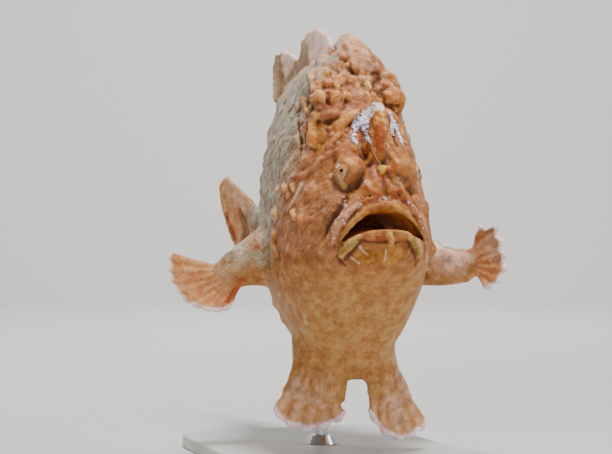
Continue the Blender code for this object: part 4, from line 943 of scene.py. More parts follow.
def move_along_normals(mesh, lift):
    """Moves every point outwards by its own lift."""
    points = points_of(mesh) + numbers_of(mesh.vertices, "normal", 3) * lift[:, None]
    mesh.vertices.foreach_set("co", points.astype(np.float32).ravel())
    mesh.update()


def tree_of(points):
    """A search tree of points, each under its own index."""
    tree = kdtree.KDTree(len(points))
    for index, point in enumerate(points):
        tree.insert(point, index)
    tree.balance()
    return tree


def calmed(mesh, values, passes):
    """Values at the mesh's points, averaged over neighbouring points several times."""
    edges = numbers_of(mesh.edges, "vertices", 2, np.int32)
    count = len(values)
    links = np.bincount(edges.ravel(), minlength=count)[:, None]
    values = values.reshape(count, -1).astype(float)
    for _ in range(passes):
        total = np.empty_like(values)
        for axis in range(values.shape[1]):
            total[:, axis] = np.bincount(edges[:, 0], values[edges[:, 1], axis], count)
            total[:, axis] += np.bincount(edges[:, 1], values[edges[:, 0], axis], count)
        values = 0.5 * values + 0.5 * total / links
    return values.squeeze()


def bulge_of(mesh, passes):
    """How far each point stands out of the calmed surface, in metres. Hollows are negative."""
    points = points_of(mesh)
    return ((points - calmed(mesh, points, passes)) * numbers_of(mesh.vertices, "normal", 3)).sum(axis=1)


# The folds of the skin run down, back and outwards on both sides
FLOW = Vector((0.507, 0.609, -0.609)).normalized()


def noise_at(points, size, stretch=1.0, offset=0.0):
    """Noise at each point, with features of a size in mm, drawn out along the folds by a stretch over 1."""
    spots = points.copy()
    if stretch > 1:
        spots[:, 0] = np.abs(spots[:, 0])
        spots += np.outer(spots @ np.array(FLOW) * (1 / stretch - 1), FLOW)
    spots = spots / (size * MM) + offset
    return np.array([noise.noise(spot) for spot in spots.tolist()])


def ramp(values, low, high):
    """0 up to low and 1 from high on. It falls instead where low is the larger."""
    return np.clip((values - low) / (high - low), 0, 1)


# Scattered warts: how many, radius from and to in mm, height as a share of it, stretch along the folds,
# back from and to, up from and to, and least distance from the middle plane
WART_ZONES = {
    "crown": (90, 1.0, 2.2, 0.60, 1.0, 0.000, 0.062, 0.045, 0.115, 0.000),
    "cheek": (110, 0.6, 1.5, 0.45, 1.5, 0.004, 0.055, -0.025, 0.045, 0.018),
    "flank": (230, 1.2, 3.0, 0.42, 1.8, 0.045, 0.215, -0.030, 0.100, 0.004),
    "back": (60, 1.4, 3.0, 0.50, 1.2, 0.060, 0.170, 0.085, 0.110, 0.000),
    "belly": (60, 0.6, 1.1, 0.22, 1.0, 0.004, 0.180, -0.090, -0.030, 0.000),
    "arm": (90, 0.6, 1.3, 0.30, 1.3, 0.050, 0.105, -0.050, 0.000, 0.045),
}
WART_SEED = 11
WART_TRIES = 3
# Small warts outnumber the large ones, and their heights vary by these shares
WART_SKEW = 1.8
WART_RISES = (0.7, 1.2)
# How round a wart or a dent is on top
ROUNDNESS = 1.2
# Marks are full in their middles: over 1, so that they are cut off at 1 there
MARK_STRENGTH = 1.6


def scattered_warts(points, taken):
    """Places, radii, heights and stretches of the warts that grow all over the skin."""
    draw = random.Random(WART_SEED)
    back, up, off = points[:, 1] - SNOUT.y, points[:, 2] - SNOUT.z, np.abs(points[:, 0])
    warts = []
    for count, small, large, rise, stretch, back_from, back_to, up_from, up_to, least in WART_ZONES.values():
        zone = (back > back_from) & (back < back_to) & (up > up_from) & (up < up_to)
        zone = np.nonzero(zone & (off >= least) & ~taken)[0]
        for _ in range(count * WART_TRIES):
            place = Vector(points[zone[draw.randrange(len(zone))]])
            radius = MM * (small + (large - small) * draw.random() ** WART_SKEW)
            if count > 0 and all((place - other[0]).length > radius + other[1] for other in warts):
                warts.append((place, radius, radius * rise * draw.uniform(*WART_RISES), stretch))
                count -= 1
    return warts


def raised(count, tree, warts):
    """Lift of every point under warts, each a place, a radius, a height and a stretch along the folds."""
    lift = np.zeros(count)
    for place, radius, height, stretch in warts:
        flow = Vector((math.copysign(FLOW.x, place.x), FLOW.y, FLOW.z))
        for spot, index, distance in tree.find_range(place, radius * stretch):
            along = (spot - place).dot(flow) ** 2
            share = (distance * distance - along) / radius ** 2 + along / (radius * stretch) ** 2
            if share < 1:
                lift[index] = max(lift[index], height * (1 - share) ** ROUNDNESS)
    return lift


def marked(count, tree, places, reach):
    """A mask that is 1 at the places and fades out within their reach."""
    mask = np.zeros(count)
    for place, radius in places:
        for _, index, distance in tree.find_range(place, radius * reach):
            share = (distance / (radius * reach)) ** 2
            mask[index] = max(mask[index], min(1.0, MARK_STRENGTH * (1 - share)))
    return mask


def crease_dents(surface):
    """The creases as round dents along chains."""
    dents = []
    for chain in CREASES.values():
        for hit, _, radius, depth in seen_along(surface, chain, CREASE_STEP):
            dents.append((hit, radius * MM * CREASE_WIDENING, depth * MM * CREASE_DEEPENING, 1.0))
    return dents


# A ray shows its own pale colour in full where its ridge is this high. The ridges rise from a share of the
# way out, over a further share. Points this far off a fin still belong to it, and those outside its box grown
# by the last distance aren't looked at
FULL_RIDGE = 0.0012
RIDGE_START = 0.12
RIDGE_RISE = 0.25
RIDGE_SHARPNESS = 1.5
FIN_REACH = 0.0014
FIN_BOX = 0.012


def fin_relief(points, fin_marks):
    """Ray ridges and pale margins of every fin. Gives the lift, and masks of the margins, rays and fins."""
    lift, margin, ray, web = np.zeros((4, len(points)))
    for name, marks in fin_marks.items():
        place, rays, root, edge, height, strength, widths = FINS[name]
        flesh_radius, flesh_end = TAPERS.get(name, (0.0, 1.0))
        sheet = tree_of([mark[0] for mark in marks])
        spots = np.array([mark[0] for mark in marks])
        low, high = spots.min(axis=0) - FIN_BOX, spots.max(axis=0) + FIN_BOX
        near = np.all((points > low) & (points < high), axis=1)
        lengths = [(place(1.0, k / 100) - place(0.0, k / 100)).length for k in range(101)]
        for index in np.nonzero(near)[0]:
            mark, distance = sheet.find(points[index])[1:]
            _, out, share = marks[mark]
            flesh_depth = flesh_radius * max(0.0, 1 - out / flesh_end) ** TAPER_POWER
            if distance > max(fin_thickness(root, edge, out) * 0.5, flesh_depth) + FIN_REACH:
                continue
            ridge = abs(math.sin(math.pi * rays * share)) ** RIDGE_SHARPNESS
            grown_out = min(1.0, max(0.0, (out - RIDGE_START) / RIDGE_RISE))
            rim = (1 - out) * lengths[round(share * 100)] / between(widths, share)
            lift[index] = (ridge - 0.5) * height * grown_out
            margin[index] = max(margin[index], min(1.0, max(0.0, MARK_STRENGTH - MARK_STRENGTH * rim)))
            ray[index] = ridge * grown_out * min(1.0, height / FULL_RIDGE) ** 2
            web[index] = grown_out * strength
    return lift, margin, ray, web


# Colours of the skin, the lowest first: two tones that mix in blotches, and how much they hide of those below
TINTS = {
    "web": ("b86c38", "d09862", 0.90),
    "ray": ("d6a684", "e8bea2", 0.75),
    "crown": ("985830", "b87c54", 0.85),
    "top": ("bc8054", "dcae8c", 0.85),
    "cream": ("deb09a", "f6d6c4", 0.92),
    "cheek": ("94582e", "b0764c", 0.85),
    "flank": ("8a7458", "a8a08c", 0.95),
    "belly": ("9c6430", "b6874e", 0.95),
    "blush": ("ae7e5a", "d2a88c", 0.80),
    # Painted shade, laid on the eye domes' lower sides and on the lower tail
    "brown_shade": ("6a4222", "865a36", 0.90),
    # Painted highlight: pale orange on the tops of bulges and warts, where light falls
    "crest_highlight": ("d89450", "ecba82", 0.60),
    "rose": ("a05434", "c07c58", 0.90),
    "orange": ("bc6c20", "eeaa62", 0.95),
    "red": ("86340e", "b8602a", 0.95),
    "yellow": ("bc8028", "ecc478", 0.95),
    "gold": ("bc7a00", "f6cc48", 1.00),
    "pink": ("a43c28", "d88478", 0.95),
    "ochre": ("8e5212", "ba8034", 0.95),
    "green": ("86722a", "b9ab5c", 0.95),
    "pale": ("c4946c", "e4d0b8", 0.80),
    # The spine tip's pale colour, brightened by a painted highlight
    "ivory_and_highlight": ("ead8b4", "fffaea", 0.95),
    # Real white specks on the cheek ridges, and painted highlights where the glint stains lie
    "frost": ("a66a48", "c89478", 0.75),
    # Painted shade: dark brown laid into the creases and hollows, where shade falls
    "crease_shade": ("4a200a", "5c2c14", 0.90),
    # Painted shade, for the hollow beside the second spine
    "recess_shade": ("241512", "3a241c", 0.95),
    "margin": ("e2b8ba", "f2e2e6", 0.95),
    # Painted light: the inside of the mouth is lighter than its tissue, to make up for the shade inside it, and
    # darker further back in the throat
    "mouth": ("d4843c", "c07030", 1.00),
    "deep": ("ac6a4c", "905640", 1.00),
}
BASE_TONES = ("8c4a1c", "ae7038")
# The tints that lobes and stains name. Grey has no tones of its own and joins the flank
CHAIN_TINTS = (
    "orange", "red", "rose", "yellow", "gold", "pink", "ochre", "green",
    "pale", "frost", "recess_shade", "grey", "cream", "blush", "brown_shade", "ivory_and_highlight",
)
TINT_REACH = 1.3
# The raised skin round each eye, from its edge to where it is full
EYELID_ZONE = (0.0125, 0.0095)
# How far the head's own relief may be pushed in and out
SWELL_LIMITS = (-0.0008, 0.0012)
# Rounds of averaging for the small and the broad forms of the head and of the skin, and for the way it faces
HEAD_ROUNDS = (6, 30)
SKIN_ROUNDS = (5, 24)
FACING_ROUNDS = 25
# Most faces stay round this place, the middle of the face
DETAIL_CENTRE = SNOUT + Vector((-0.010, 0.020, 0.030))


def throat_of(points):
    """How far each point belongs to the mouth, 0 on the lips and 1 behind them, and how deep it lies."""
    back, up, x = points[:, 1] - SNOUT.y, points[:, 2] - SNOUT.z, points[:, 0]
    narrowing = np.interp(back, *zip(*MOUTH_RINGS))
    share = np.abs(x) / (MOUTH_HALF_WIDTH * narrowing)
    roof = (UPPER_EDGE_UP + OVERLAP + (CORNER_UP - UPPER_EDGE_UP) * share ** UPPER_ARCH) * narrowing
    bed = (LOWER_EDGE_UP + (CORNER_UP - OVERLAP - LOWER_EDGE_UP) * share ** LOWER_ARCH) * narrowing
    # A little more than the opening, with the lips' edge further back towards the corners
    within = (share < 1.08) * (up < roof + 0.0012) * (up > bed - 0.0012) * (back < 0.028)
    lips = -0.0010 + 0.0085 * np.minimum(share, 1) ** 1.6
    return within * ramp(back - lips, 0.0010, 0.0035), ramp(back - lips, 0.004, 0.018)


def add_layer(mesh, name, values):
    """Keeps a mask on the mesh, for its material."""
    layer = mesh.attributes.new(name, "FLOAT", "POINT")
    layer.data.foreach_set("value", np.clip(values, 0, 1).astype(np.float32))


def lay_tints(mesh, masks):
    """Keeps the two tones of every point on the mesh, with each tint laid over those before it."""
    for which, name in enumerate(("under", "over")):
        tone = np.tile(linear(BASE_TONES[which]), (len(mesh.vertices), 1))
        for tint, (*tones, cover) in TINTS.items():
            share = cover * np.clip(masks[tint], 0, 1)[:, None]
            tone += share * (np.array(linear(tones[which])) - tone)
        layer = mesh.attributes.new(name, "FLOAT_COLOR", "POINT")
        layer.data.foreach_set("color", tone.astype(np.float32).ravel())


def shape_skin(flesh, marks, fin_marks):
    """Raises warts, folds, creases, rays and grain in the skin, and colours it. Gives where most faces stay.

    Places are told by distances: back from the lips, up from the mouth and off the middle plane.
    """
    mesh = flesh.data
    count = len(mesh.vertices)

    # The head's own relief is made stronger
    head = ramp(points_of(mesh)[:, 1] - SNOUT.y, 0.075, 0.050)
    fine, broad = [bulge_of(mesh, rounds) for rounds in HEAD_ROUNDS]
    swell = np.clip(fine * 0.7 + broad * 0.35, *SWELL_LIMITS)
    move_along_normals(mesh, swell * head)

    surface = surface_of(flesh)
    points = points_of(mesh)
    tree = tree_of(points)
    back, up, off = points[:, 1] - SNOUT.y, points[:, 2] - SNOUT.z, np.abs(points[:, 0])
    facing = calmed(mesh, numbers_of(mesh.vertices, "normal", 3), FACING_ROUNDS)
    sideways, upward = np.abs(facing[:, 0]), facing[:, 2]
    fin_lift, margin, ray, web = fin_relief(points, fin_marks)
    mouth, deep = throat_of(points)

    marks = marks + stain_marks(surface)
    masks = {}
    for tint in CHAIN_TINTS:
        masks[tint] = marked(count, tree, [mark[:2] for mark in marks if mark[2] == tint], TINT_REACH)
    lobed_skin = np.max(list(masks.values()), axis=0)

    # No wart grows on a fin, a lobe, an eyelid or the lips
    domes = np.zeros(count)
    for side in (-1, 1):
        away = np.linalg.norm(points - np.array(eye_place(side)), axis=1)
        domes = np.maximum(domes, ramp(away, *EYELID_ZONE))
    taken = (web > 0.2) | (mouth > 0.2) | (lobed_skin > 0.4)
    taken |= domes > 0
    taken |= (up > -0.024) & (up < 0.014) & (off < 0.028) & (back < 0.02)
    wart_lift = raised(count, tree, scattered_warts(points, taken))
    dents = raised(count, tree, crease_dents(surface))

    # Folds run along both sides, and a fine grain lies everywhere but on the fins and in the mouth
    bare = 1 - np.clip(web + mouth, 0, 1)
    side_zone = ramp(off, 0.012, 0.030) * ramp(up, -0.050, -0.010) * bare
    folds = noise_at(points, 6.5, 5.0, 3.0) * 0.8 + noise_at(points, 2.6, 6.0, 9.0) * 0.22
    smooth_zone = ramp(-up, 0.020, 0.045)
    grain = noise_at(points, 2.4) * 0.10 + noise_at(points, 6.0, 1.0, 5.0) * 0.28
    lift = fin_lift + bare * wart_lift + side_zone * folds * MM + bare * grain * MM * (1 - 0.6 * smooth_zone)
    move_along_normals(mesh, lift - dents * (1 - mouth))

    # Painted shade in the hollows and painted highlights on the crests, by how far each point lies below or
    # above the skin round it
    fine, broad = [bulge_of(mesh, rounds) for rounds in SKIN_ROUNDS]
    crease_shade = ramp(-fine, 0.00005, 0.00030) * 0.8 + ramp(-broad, 0.00015, 0.0009)
    crease_shade = crease_shade + ramp(dents, 0.0002, 0.0012) * 0.7
    crest_highlight = ramp(fine, 0.00008, 0.00045) * 0.6 + ramp(broad, 0.0004, 0.0018) * 0.35

    # Zones of the body
    arm = ramp(off, 0.046, 0.056) * (back < 0.11)
    crease_shade *= 1 - 0.7 * arm
    flank = ramp(back + 0.25 * up, 0.045, 0.070) * ramp(up, -0.045, 0.005) * (1 - arm)
    flank = flank * ramp(sideways, 0.30, 0.60)
    flank *= (1 - 0.85 * web) * (1 - masks["cream"])
    arm *= 1 - web
    cheek = ramp(off, 0.012, 0.024) * ramp(up, -0.030, -0.008) * ramp(up, 0.062, 0.045)
    cheek = cheek * ramp(back, 0.065, 0.050)

    masks["crease_shade"] = calmed(mesh, np.clip(crease_shade, 0, 1), 1) * (1 - 0.5 * smooth_zone) * (1 - 0.8 * web)
    # Painted highlight on the tops of bulges and warts
    crest_highlight = crest_highlight * (1 - smooth_zone) * (1 - 0.8 * domes)
    masks["crest_highlight"] = (crest_highlight + 0.5 * ramp(wart_lift, 0.0003, 0.0010)) * (1 - web)
    arm *= 1 - masks["cream"]
    masks["flank"] = np.maximum(flank, masks.pop("grey"))
    masks["flank"] = np.maximum(masks["flank"], arm * ramp(upward, -0.35, 0.15))
    masks["cheek"] = cheek
    masks["crown"] = ramp(up, 0.060, 0.078) * (1 - flank)
    masks["top"] = ramp(upward, 0.45, 0.80) * ramp(up, 0.060, 0.080) * bare
    masks["belly"] = ramp(-up, 0.012, 0.040) * (1 - web)
    # Painted shade: the arms' undersides, where they face down, take the belly's darker tone
    masks["belly"] = np.maximum(masks["belly"], arm * ramp(upward, -0.05, -0.45) * 0.8)
    masks.update(mouth=mouth, deep=deep * mouth, margin=margin, ray=ray, web=web)
    lay_tints(mesh, masks)
    streaky = np.maximum(masks["flank"], 0.8 * masks["cheek"]) * (1 - lobed_skin)
    add_layer(mesh, "streaky", streaky)
    add_layer(mesh, "smooth", np.maximum(masks["belly"], web))
    add_layer(mesh, "frost", masks["frost"])
    face = ramp(np.linalg.norm(points - np.array(DETAIL_CENTRE), axis=1), 0.115, 0.060)
    return np.clip(np.max([0.75 * face, 0.45 * (web > 0), margin, 0.35 * mouth], axis=0), 0, 1)


# Materials


def linear(code):
    """A linear colour from an sRGB hex code."""
    channels = [int(code[k:k + 2], 16) / 255 for k in (0, 2, 4)]
    return (*[c / 12.92 if c <= 0.04045 else ((c + 0.055) / 1.055) ** 2.4 for c in channels], 1.0)


def feed(tree, node, inputs):
    """Links each input of a node that is given as another's output, and sets the rest."""
    for key, value in inputs.items():
        if isinstance(value, bpy.types.NodeSocket):
            tree.links.new(value, node.inputs[key])
        else:
            node.inputs[key].default_value = value


def add_node(tree, kind, inputs=None, **settings):
    """Adds a node with its settings and inputs."""
    node = tree.nodes.new(kind)
    for key, value in settings.items():
        setattr(node, key, value)
    feed(tree, node, inputs or {})
    return node


def new_finish(name):
    """A material, its nodes and its shader."""
    finish = bpy.data.materials.new(name)
    finish.use_nodes = True
    tree = finish.node_tree
    return finish, tree, tree.nodes["Principled BSDF"]


def coat(tree, under, pattern, low, high, least, most, code, mask=None):
    """Lays a colour over another where a pattern runs from low to high, within a mask."""
    cover = add_node(
        tree, "ShaderNodeMapRange",
        {"Value": pattern, "From Min": low, "From Max": high, "To Min": least, "To Max": most},
    ).outputs["Result"]
    if mask is not None:
        cover = add_node(tree, "ShaderNodeMath", {0: cover, 1: mask}, operation="MULTIPLY").outputs[0]
    return add_node(tree, "ShaderNodeMix", {0: cover, 6: under, 7: linear(code)}, data_type="RGBA").outputs[2]


# The turn that lays the folds' direction along X
FOLD_TURN = tuple(FLOW.rotation_difference(Vector((1.0, 0.0, 0.0))).to_euler())

# Patterns in the skin: size of a patch in mm, detail, and whether it is drawn out along the folds
SKIN_PATTERNS = {
    "blotch": (6.0, 3.0, False),
    "fleck": (1.8, 2.0, False),
    "streak": (1.8, 3.0, True),
    "wide_streak": (6.0, 2.0, True),
}


def skin_material():
    """Living frogfish skin, grown soft, wet and scaleless: mottled, with painted highlights on the wart tops
    and painted shade in the creases.
    """
    finish, tree, shader = new_finish("frogfish_skin")
    place = add_node(tree, "ShaderNodeTexCoord").outputs["Object"]
    masks = {
        name: add_node(tree, "ShaderNodeAttribute", attribute_name=name).outputs["Fac"]
        for name in ("streaky", "smooth", "frost")
    }
    under, over = [
        add_node(tree, "ShaderNodeAttribute", attribute_name=name).outputs["Color"]
        for name in ("under", "over")
    ]

    # Both sides are folded onto one, and the pattern is turned along the folds and drawn out
    parts = add_node(tree, "ShaderNodeSeparateXYZ", {0: place})
    outwards = add_node(tree, "ShaderNodeMath", {0: parts.outputs[0]}, operation="ABSOLUTE").outputs[0]
    folded = add_node(
        tree, "ShaderNodeCombineXYZ", {0: outwards, 1: parts.outputs[1], 2: parts.outputs[2]}
    ).outputs[0]
    turned = add_node(tree, "ShaderNodeMapping", {0: folded, 2: FOLD_TURN}).outputs[0]
    drawn = add_node(tree, "ShaderNodeMapping", {0: turned, 3: (0.12, 1.0, 1.0)}).outputs[0]

    patterns = {}
    for name, (size, detail, along) in SKIN_PATTERNS.items():
        spot = drawn if along else place
        patterns[name] = add_node(
            tree, "ShaderNodeTexNoise",
            {"Vector": spot, "Scale": 1 / (size * MM), "Detail": detail, "Roughness": 0.55},
        ).outputs["Fac"]

    # Blotches of the two tones, lightened and darkened by fine flecks, and by streaks on the folded skin
    blend = add_node(
        tree, "ShaderNodeMapRange", {"Value": patterns["blotch"], "From Min": 0.36, "From Max": 0.64}
    ).outputs[0]
    colour = add_node(tree, "ShaderNodeMix", {0: blend, 6: under, 7: over}, data_type="RGBA").outputs[2]
    light = add_node(
        tree, "ShaderNodeMapRange",
        {"Value": patterns["fleck"], "From Min": 0.30, "From Max": 0.70, "To Min": 0.80, "To Max": 1.18},
    ).outputs[0]
    for name, least, most in (("streak", 0.76, 1.26), ("wide_streak", 0.74, 1.22)):
        streaks = add_node(
            tree, "ShaderNodeMapRange",
            {"Value": patterns[name], "From Min": 0.36, "From Max": 0.64, "To Min": least, "To Max": most},
        ).outputs[0]
        streaks = add_node(tree, "ShaderNodeMix", {0: masks["streaky"], 2: 1.0, 3: streaks}).outputs[0]
        light = add_node(tree, "ShaderNodeMath", {0: light, 1: streaks}, operation="MULTIPLY").outputs[0]
    colour = add_node(tree, "ShaderNodeVectorMath", {0: colour, 3: light}, operation="SCALE").outputs[0]

    # White specks 1 mm across in some of the cells of an uneven net: real specks on the cheek ridges, and
    # painted highlights where the glint stains lie
    cells = add_node(tree, "ShaderNodeTexVoronoi", {"Vector": place, "Scale": 1 / (1.9 * MM)})
    near = add_node(
        tree, "ShaderNodeMapRange", {"Value": cells.outputs["Distance"], "From Min": 0.38, "From Max": 0.26}
    ).outputs[0]
    chosen = add_node(tree, "ShaderNodeSeparateColor", {0: cells.outputs["Color"]}).outputs[0]
    chosen = add_node(tree, "ShaderNodeMath", {0: chosen, 1: 0.58}, operation="GREATER_THAN").outputs[0]
    specks = add_node(tree, "ShaderNodeMath", {0: near, 1: chosen}, operation="MULTIPLY").outputs[0]
    colour = coat(tree, colour, specks, 0.0, 1.0, 0.0, 0.9, "f0e6ee", masks["frost"])

    rough = add_node(
        tree, "ShaderNodeMapRange",
        {"Value": patterns["fleck"], "From Min": 0.35, "From Max": 0.65, "To Min": 0.42, "To Max": 0.62},
    ).outputs[0]
    feed(tree, shader, {
        "Base Color": colour,
        "Roughness": rough,
        "Specular IOR Level": 0.28,
        "IOR": 1.40,
        "Subsurface Weight": 0.06,
        "Subsurface Radius": (0.0024, 0.0010, 0.0005),
        "Subsurface Scale": 1.0,
    })

    # Round papillae 1 mm apart over fine wrinkles that follow the folds
    papillae = add_node(
        tree, "ShaderNodeTexVoronoi", {"Vector": place, "Scale": 1 / (1.1 * MM)}, feature="SMOOTH_F1"
    )
    away = papillae.outputs["Distance"]
    domes = add_node(
        tree, "ShaderNodeMapRange",
        {"Value": away, "From Min": 0.0, "From Max": 0.7, "To Min": 0.7, "To Max": 0.0},
    ).outputs[0]
    height = add_node(
        tree, "ShaderNodeMath", {0: patterns["streak"], 1: 1.2, 2: domes}, operation="MULTIPLY_ADD"
    ).outputs[0]
    strength = add_node(
        tree, "ShaderNodeMapRange", {"Value": masks["smooth"], "To Min": 0.65, "To Max": 0.20}
    ).outputs[0]
    bump = add_node(tree, "ShaderNodeBump", {"Height": height, "Distance": 0.5 * MM, "Strength": strength})
    tree.links.new(bump.outputs[0], shader.inputs["Normal"])
    return finish


# Pale spokes on the iris
EYE_SPOKES = 14


def eye_material(side):
    """A living eye: a small black pupil, skin-coloured iris with thin pale spokes, glossy and wet."""
    finish, tree, shader = new_finish("frogfish_eye_" + ("left" if side > 0 else "right"))
    centre = eye_place(side)
    turn = gaze_of(side).rotation_difference(Vector((0.0, 0.0, 1.0)))
    shifted = -(turn @ centre)

    # The ball is shifted to the origin, turned to look up and scaled to a radius of 1
    place = add_node(tree, "ShaderNodeTexCoord").outputs["Object"]
    local = add_node(
        tree, "ShaderNodeMapping",
        {0: place, 1: tuple(shifted / EYE_RADIUS), 2: tuple(turn.to_euler()), 3: (1 / EYE_RADIUS,) * 3},
    ).outputs[0]
    parts = add_node(tree, "ShaderNodeSeparateXYZ", {0: local})
    angle = add_node(
        tree, "ShaderNodeMath", {0: parts.outputs[1], 1: parts.outputs[0]}, operation="ARCTAN2"
    ).outputs[0]
    flat = add_node(tree, "ShaderNodeCombineXYZ", {0: parts.outputs[0], 1: parts.outputs[1]}).outputs[0]
    radius = add_node(tree, "ShaderNodeVectorMath", {0: flat}, operation="LENGTH").outputs["Value"]
    spokes = add_node(tree, "ShaderNodeMath", {0: angle, 1: EYE_SPOKES}, operation="MULTIPLY").outputs[0]
    spokes = add_node(tree, "ShaderNodeMath", {0: spokes}, operation="SINE").outputs[0]
    spokes = add_node(
        tree, "ShaderNodeMapRange", {"Value": spokes, "From Min": 0.72, "From Max": 0.98}
    ).outputs[0]
    inner = add_node(
        tree, "ShaderNodeMapRange", {"Value": radius, "From Min": 0.20, "From Max": 0.26}
    ).outputs[0]
    spokes = add_node(tree, "ShaderNodeMath", {0: spokes, 1: inner}, operation="MULTIPLY").outputs[0]
    mottle = add_node(
        tree, "ShaderNodeTexNoise", {"Vector": place, "Scale": 1 / (1.5 * MM), "Detail": 2.0}
    ).outputs["Fac"]
    colour = add_node(
        tree, "ShaderNodeMix", {0: mottle, 6: linear("96541e"), 7: linear("c48646")}, data_type="RGBA"
    ).outputs[2]
    dashes = coat(tree, colour, mottle, 0.42, 0.50, 0.0, 1.0, "dccaa8")
    colour = add_node(tree, "ShaderNodeMix", {0: spokes, 6: colour, 7: dashes}, data_type="RGBA").outputs[2]
    colour = coat(tree, colour, radius, 0.18, 0.15, 0.0, 1.0, "050404")
    feed(tree, shader, {
        "Base Color": colour,
        "Roughness": 0.14,
        "IOR": 1.38,
        "Coat Weight": 0.5,
        "Coat Roughness": 0.05,
    })
    return finish


def make_eye(side):
    """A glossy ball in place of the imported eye, -1 for the right and 1 for the left."""
    name = "eye_left" if side > 0 else "eye_right"
    bpy.ops.mesh.primitive_uv_sphere_add(
        segments=48, ring_count=24, radius=EYE_RADIUS, location=eye_place(side)
    )
    eye = bpy.context.active_object
    eye.name = eye.data.name = name + "_ball"
    bpy.ops.object.transform_apply(location=True, rotation=True, scale=True)
    bpy.ops.object.shade_smooth()
    eye.data.materials.append(eye_material(side))
    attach(eye, "root")
    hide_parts(name)


# The frill's leaves: how many on each bead, and their sizes in mm
LURE_SEED = 5
LEAVES = 13
LEAF_SIZES = (0.35, 0.68)
LEAF_THICKNESS = 0.32
FRILL_STEP = 1.3
ROD_STEP = 0.6
LURE_VOXEL = 0.0003


def make_lure(surface):
    """The fishing rod, laid back along the forehead, with the frilled lure spread beside the second spine."""
    draw = random.Random(LURE_SEED)
    leaves, rod_places = [], []
    for chain in FRILL:
        for hit, facing, radius in seen_along(surface, chain, FRILL_STEP):
            for _ in range(LEAVES):
                spread = Vector((draw.uniform(-1, 1), draw.uniform(-1, 1), draw.uniform(-1, 1)))
                way = (facing * 0.6 + spread).normalized()
                size = MM * draw.uniform(*LEAF_SIZES)
                leaf = Matrix.Translation(hit + facing * (size * 0.3) + spread * (radius * MM))
                leaf @= way.to_track_quat("X", "Z").to_matrix().to_4x4()
                leaf @= Matrix.Rotation(draw.uniform(0, math.pi), 4, "X")
                leaves.append(leaf @ Matrix.Diagonal((size, size * 0.75, LEAF_THICKNESS * MM, 1.0)))
    for hit, facing, radius in seen_along(surface, ROD, ROD_STEP):
        rod_places.append(hit + facing * (0.2 * MM))
        leaves.append(Matrix.Translation(rod_places[-1]) @ Matrix.Scale(radius * MM, 4))
    lure = blobs("lure", leaves)
    finish_with(lure, "Remesh", "REMESH", mode="VOXEL", voxel_size=LURE_VOXEL)
    finish_with(lure, "Smooth", "SMOOTH", iterations=1)
    points = points_of(lure.data)
    rod = marked(len(points), tree_of(points), [(place, 0.9 * MM) for place in rod_places], 1.2)
    add_layer(lure.data, "rod", rod)
    pick(lure)
    bpy.ops.object.shade_smooth()
    lure.data.materials.append(lure_material())
    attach(lure, "root")
    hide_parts("illicium")


def lure_material():
    """The lure's thin skin: white with small violet-blue specks, on a skin-coloured rod."""
    finish, tree, shader = new_finish("lure_skin")
    place = add_node(tree, "ShaderNodeTexCoord").outputs["Object"]
    rod = add_node(tree, "ShaderNodeAttribute", attribute_name="rod").outputs["Fac"]
    cells = add_node(tree, "ShaderNodeTexVoronoi", {"Vector": place, "Scale": 1 / (0.9 * MM)})
    tone = add_node(
        tree, "ShaderNodeTexNoise", {"Vector": place, "Scale": 1 / (3.0 * MM), "Detail": 2.0}
    ).outputs["Fac"]
    colour = add_node(
        tree, "ShaderNodeMix", {0: tone, 6: linear("fcf9fb"), 7: linear("dcd6e8")}, data_type="RGBA"
    ).outputs[2]
    colour = coat(tree, colour, cells.outputs["Distance"], 0.40, 0.30, 0.0, 0.9, "4a4290")
    colour = coat(tree, colour, rod, 0.3, 0.8, 0.0, 1.0, "b47a5a")
    feed(tree, shader, {
        "Base Color": colour,
        "Roughness": 0.35,
        "Subsurface Weight": 0.1,
        "Subsurface Radius": (0.001, 0.001, 0.001),
        "Subsurface Scale": 1.0,
    })
    return finish


def coated_steel_material():
    """Powder-coated mild steel plate: a fine even orange-peel texture, satin and pale grey."""
    finish, tree, shader = new_finish("powder_coated_steel")
    place = add_node(tree, "ShaderNodeTexCoord").outputs["Object"]
    tone = add_node(
        tree, "ShaderNodeTexNoise", {"Vector": place, "Scale": 1 / (30 * MM), "Detail": 2.0}
    ).outputs["Fac"]
    colour = add_node(
        tree, "ShaderNodeMix", {0: tone, 6: linear("b9b8b4"), 7: linear("c4c3bf")}, data_type="RGBA"
    ).outputs[2]
    peel = add_node(
        tree, "ShaderNodeTexNoise", {"Vector": place, "Scale": 1 / (0.9 * MM), "Detail": 1.0}
    ).outputs["Fac"]
    bump = add_node(tree, "ShaderNodeBump", {"Height": peel, "Distance": 0.05 * MM, "Strength": 0.5})
    feed(tree, shader, {"Base Color": colour, "Roughness": 0.48, "Normal": bump.outputs[0]})
    return finish


def turned_steel_material():
    """Turned stainless steel with fine rings from the lathe."""
    finish, tree, shader = new_finish("turned_stainless_steel")
    place = add_node(tree, "ShaderNodeTexCoord").outputs["Object"]
    squashed = add_node(tree, "ShaderNodeMapping", {0: place, 3: (0.05, 0.05, 1.0)}).outputs[0]
    rings = add_node(
        tree, "ShaderNodeTexNoise", {"Vector": squashed, "Scale": 1 / (0.25 * MM), "Detail": 3.0}
    ).outputs["Fac"]
    rough = add_node(tree, "ShaderNodeMapRange", {"Value": rings, "To Min": 0.22, "To Max": 0.38}).outputs[0]
    bump = add_node(tree, "ShaderNodeBump", {"Height": rings, "Distance": 0.02 * MM, "Strength": 0.4})
    feed(tree, shader, {
        "Base Color": linear("c8c8c6"),
        "Metallic": 1.0,
        "Roughness": rough,
        "Normal": bump.outputs[0],
    })
    return finish


def refinish(node_name, material):
    """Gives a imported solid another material."""
    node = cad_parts[node_name]
    node.data.materials.clear()
    node.data.materials.append(material)


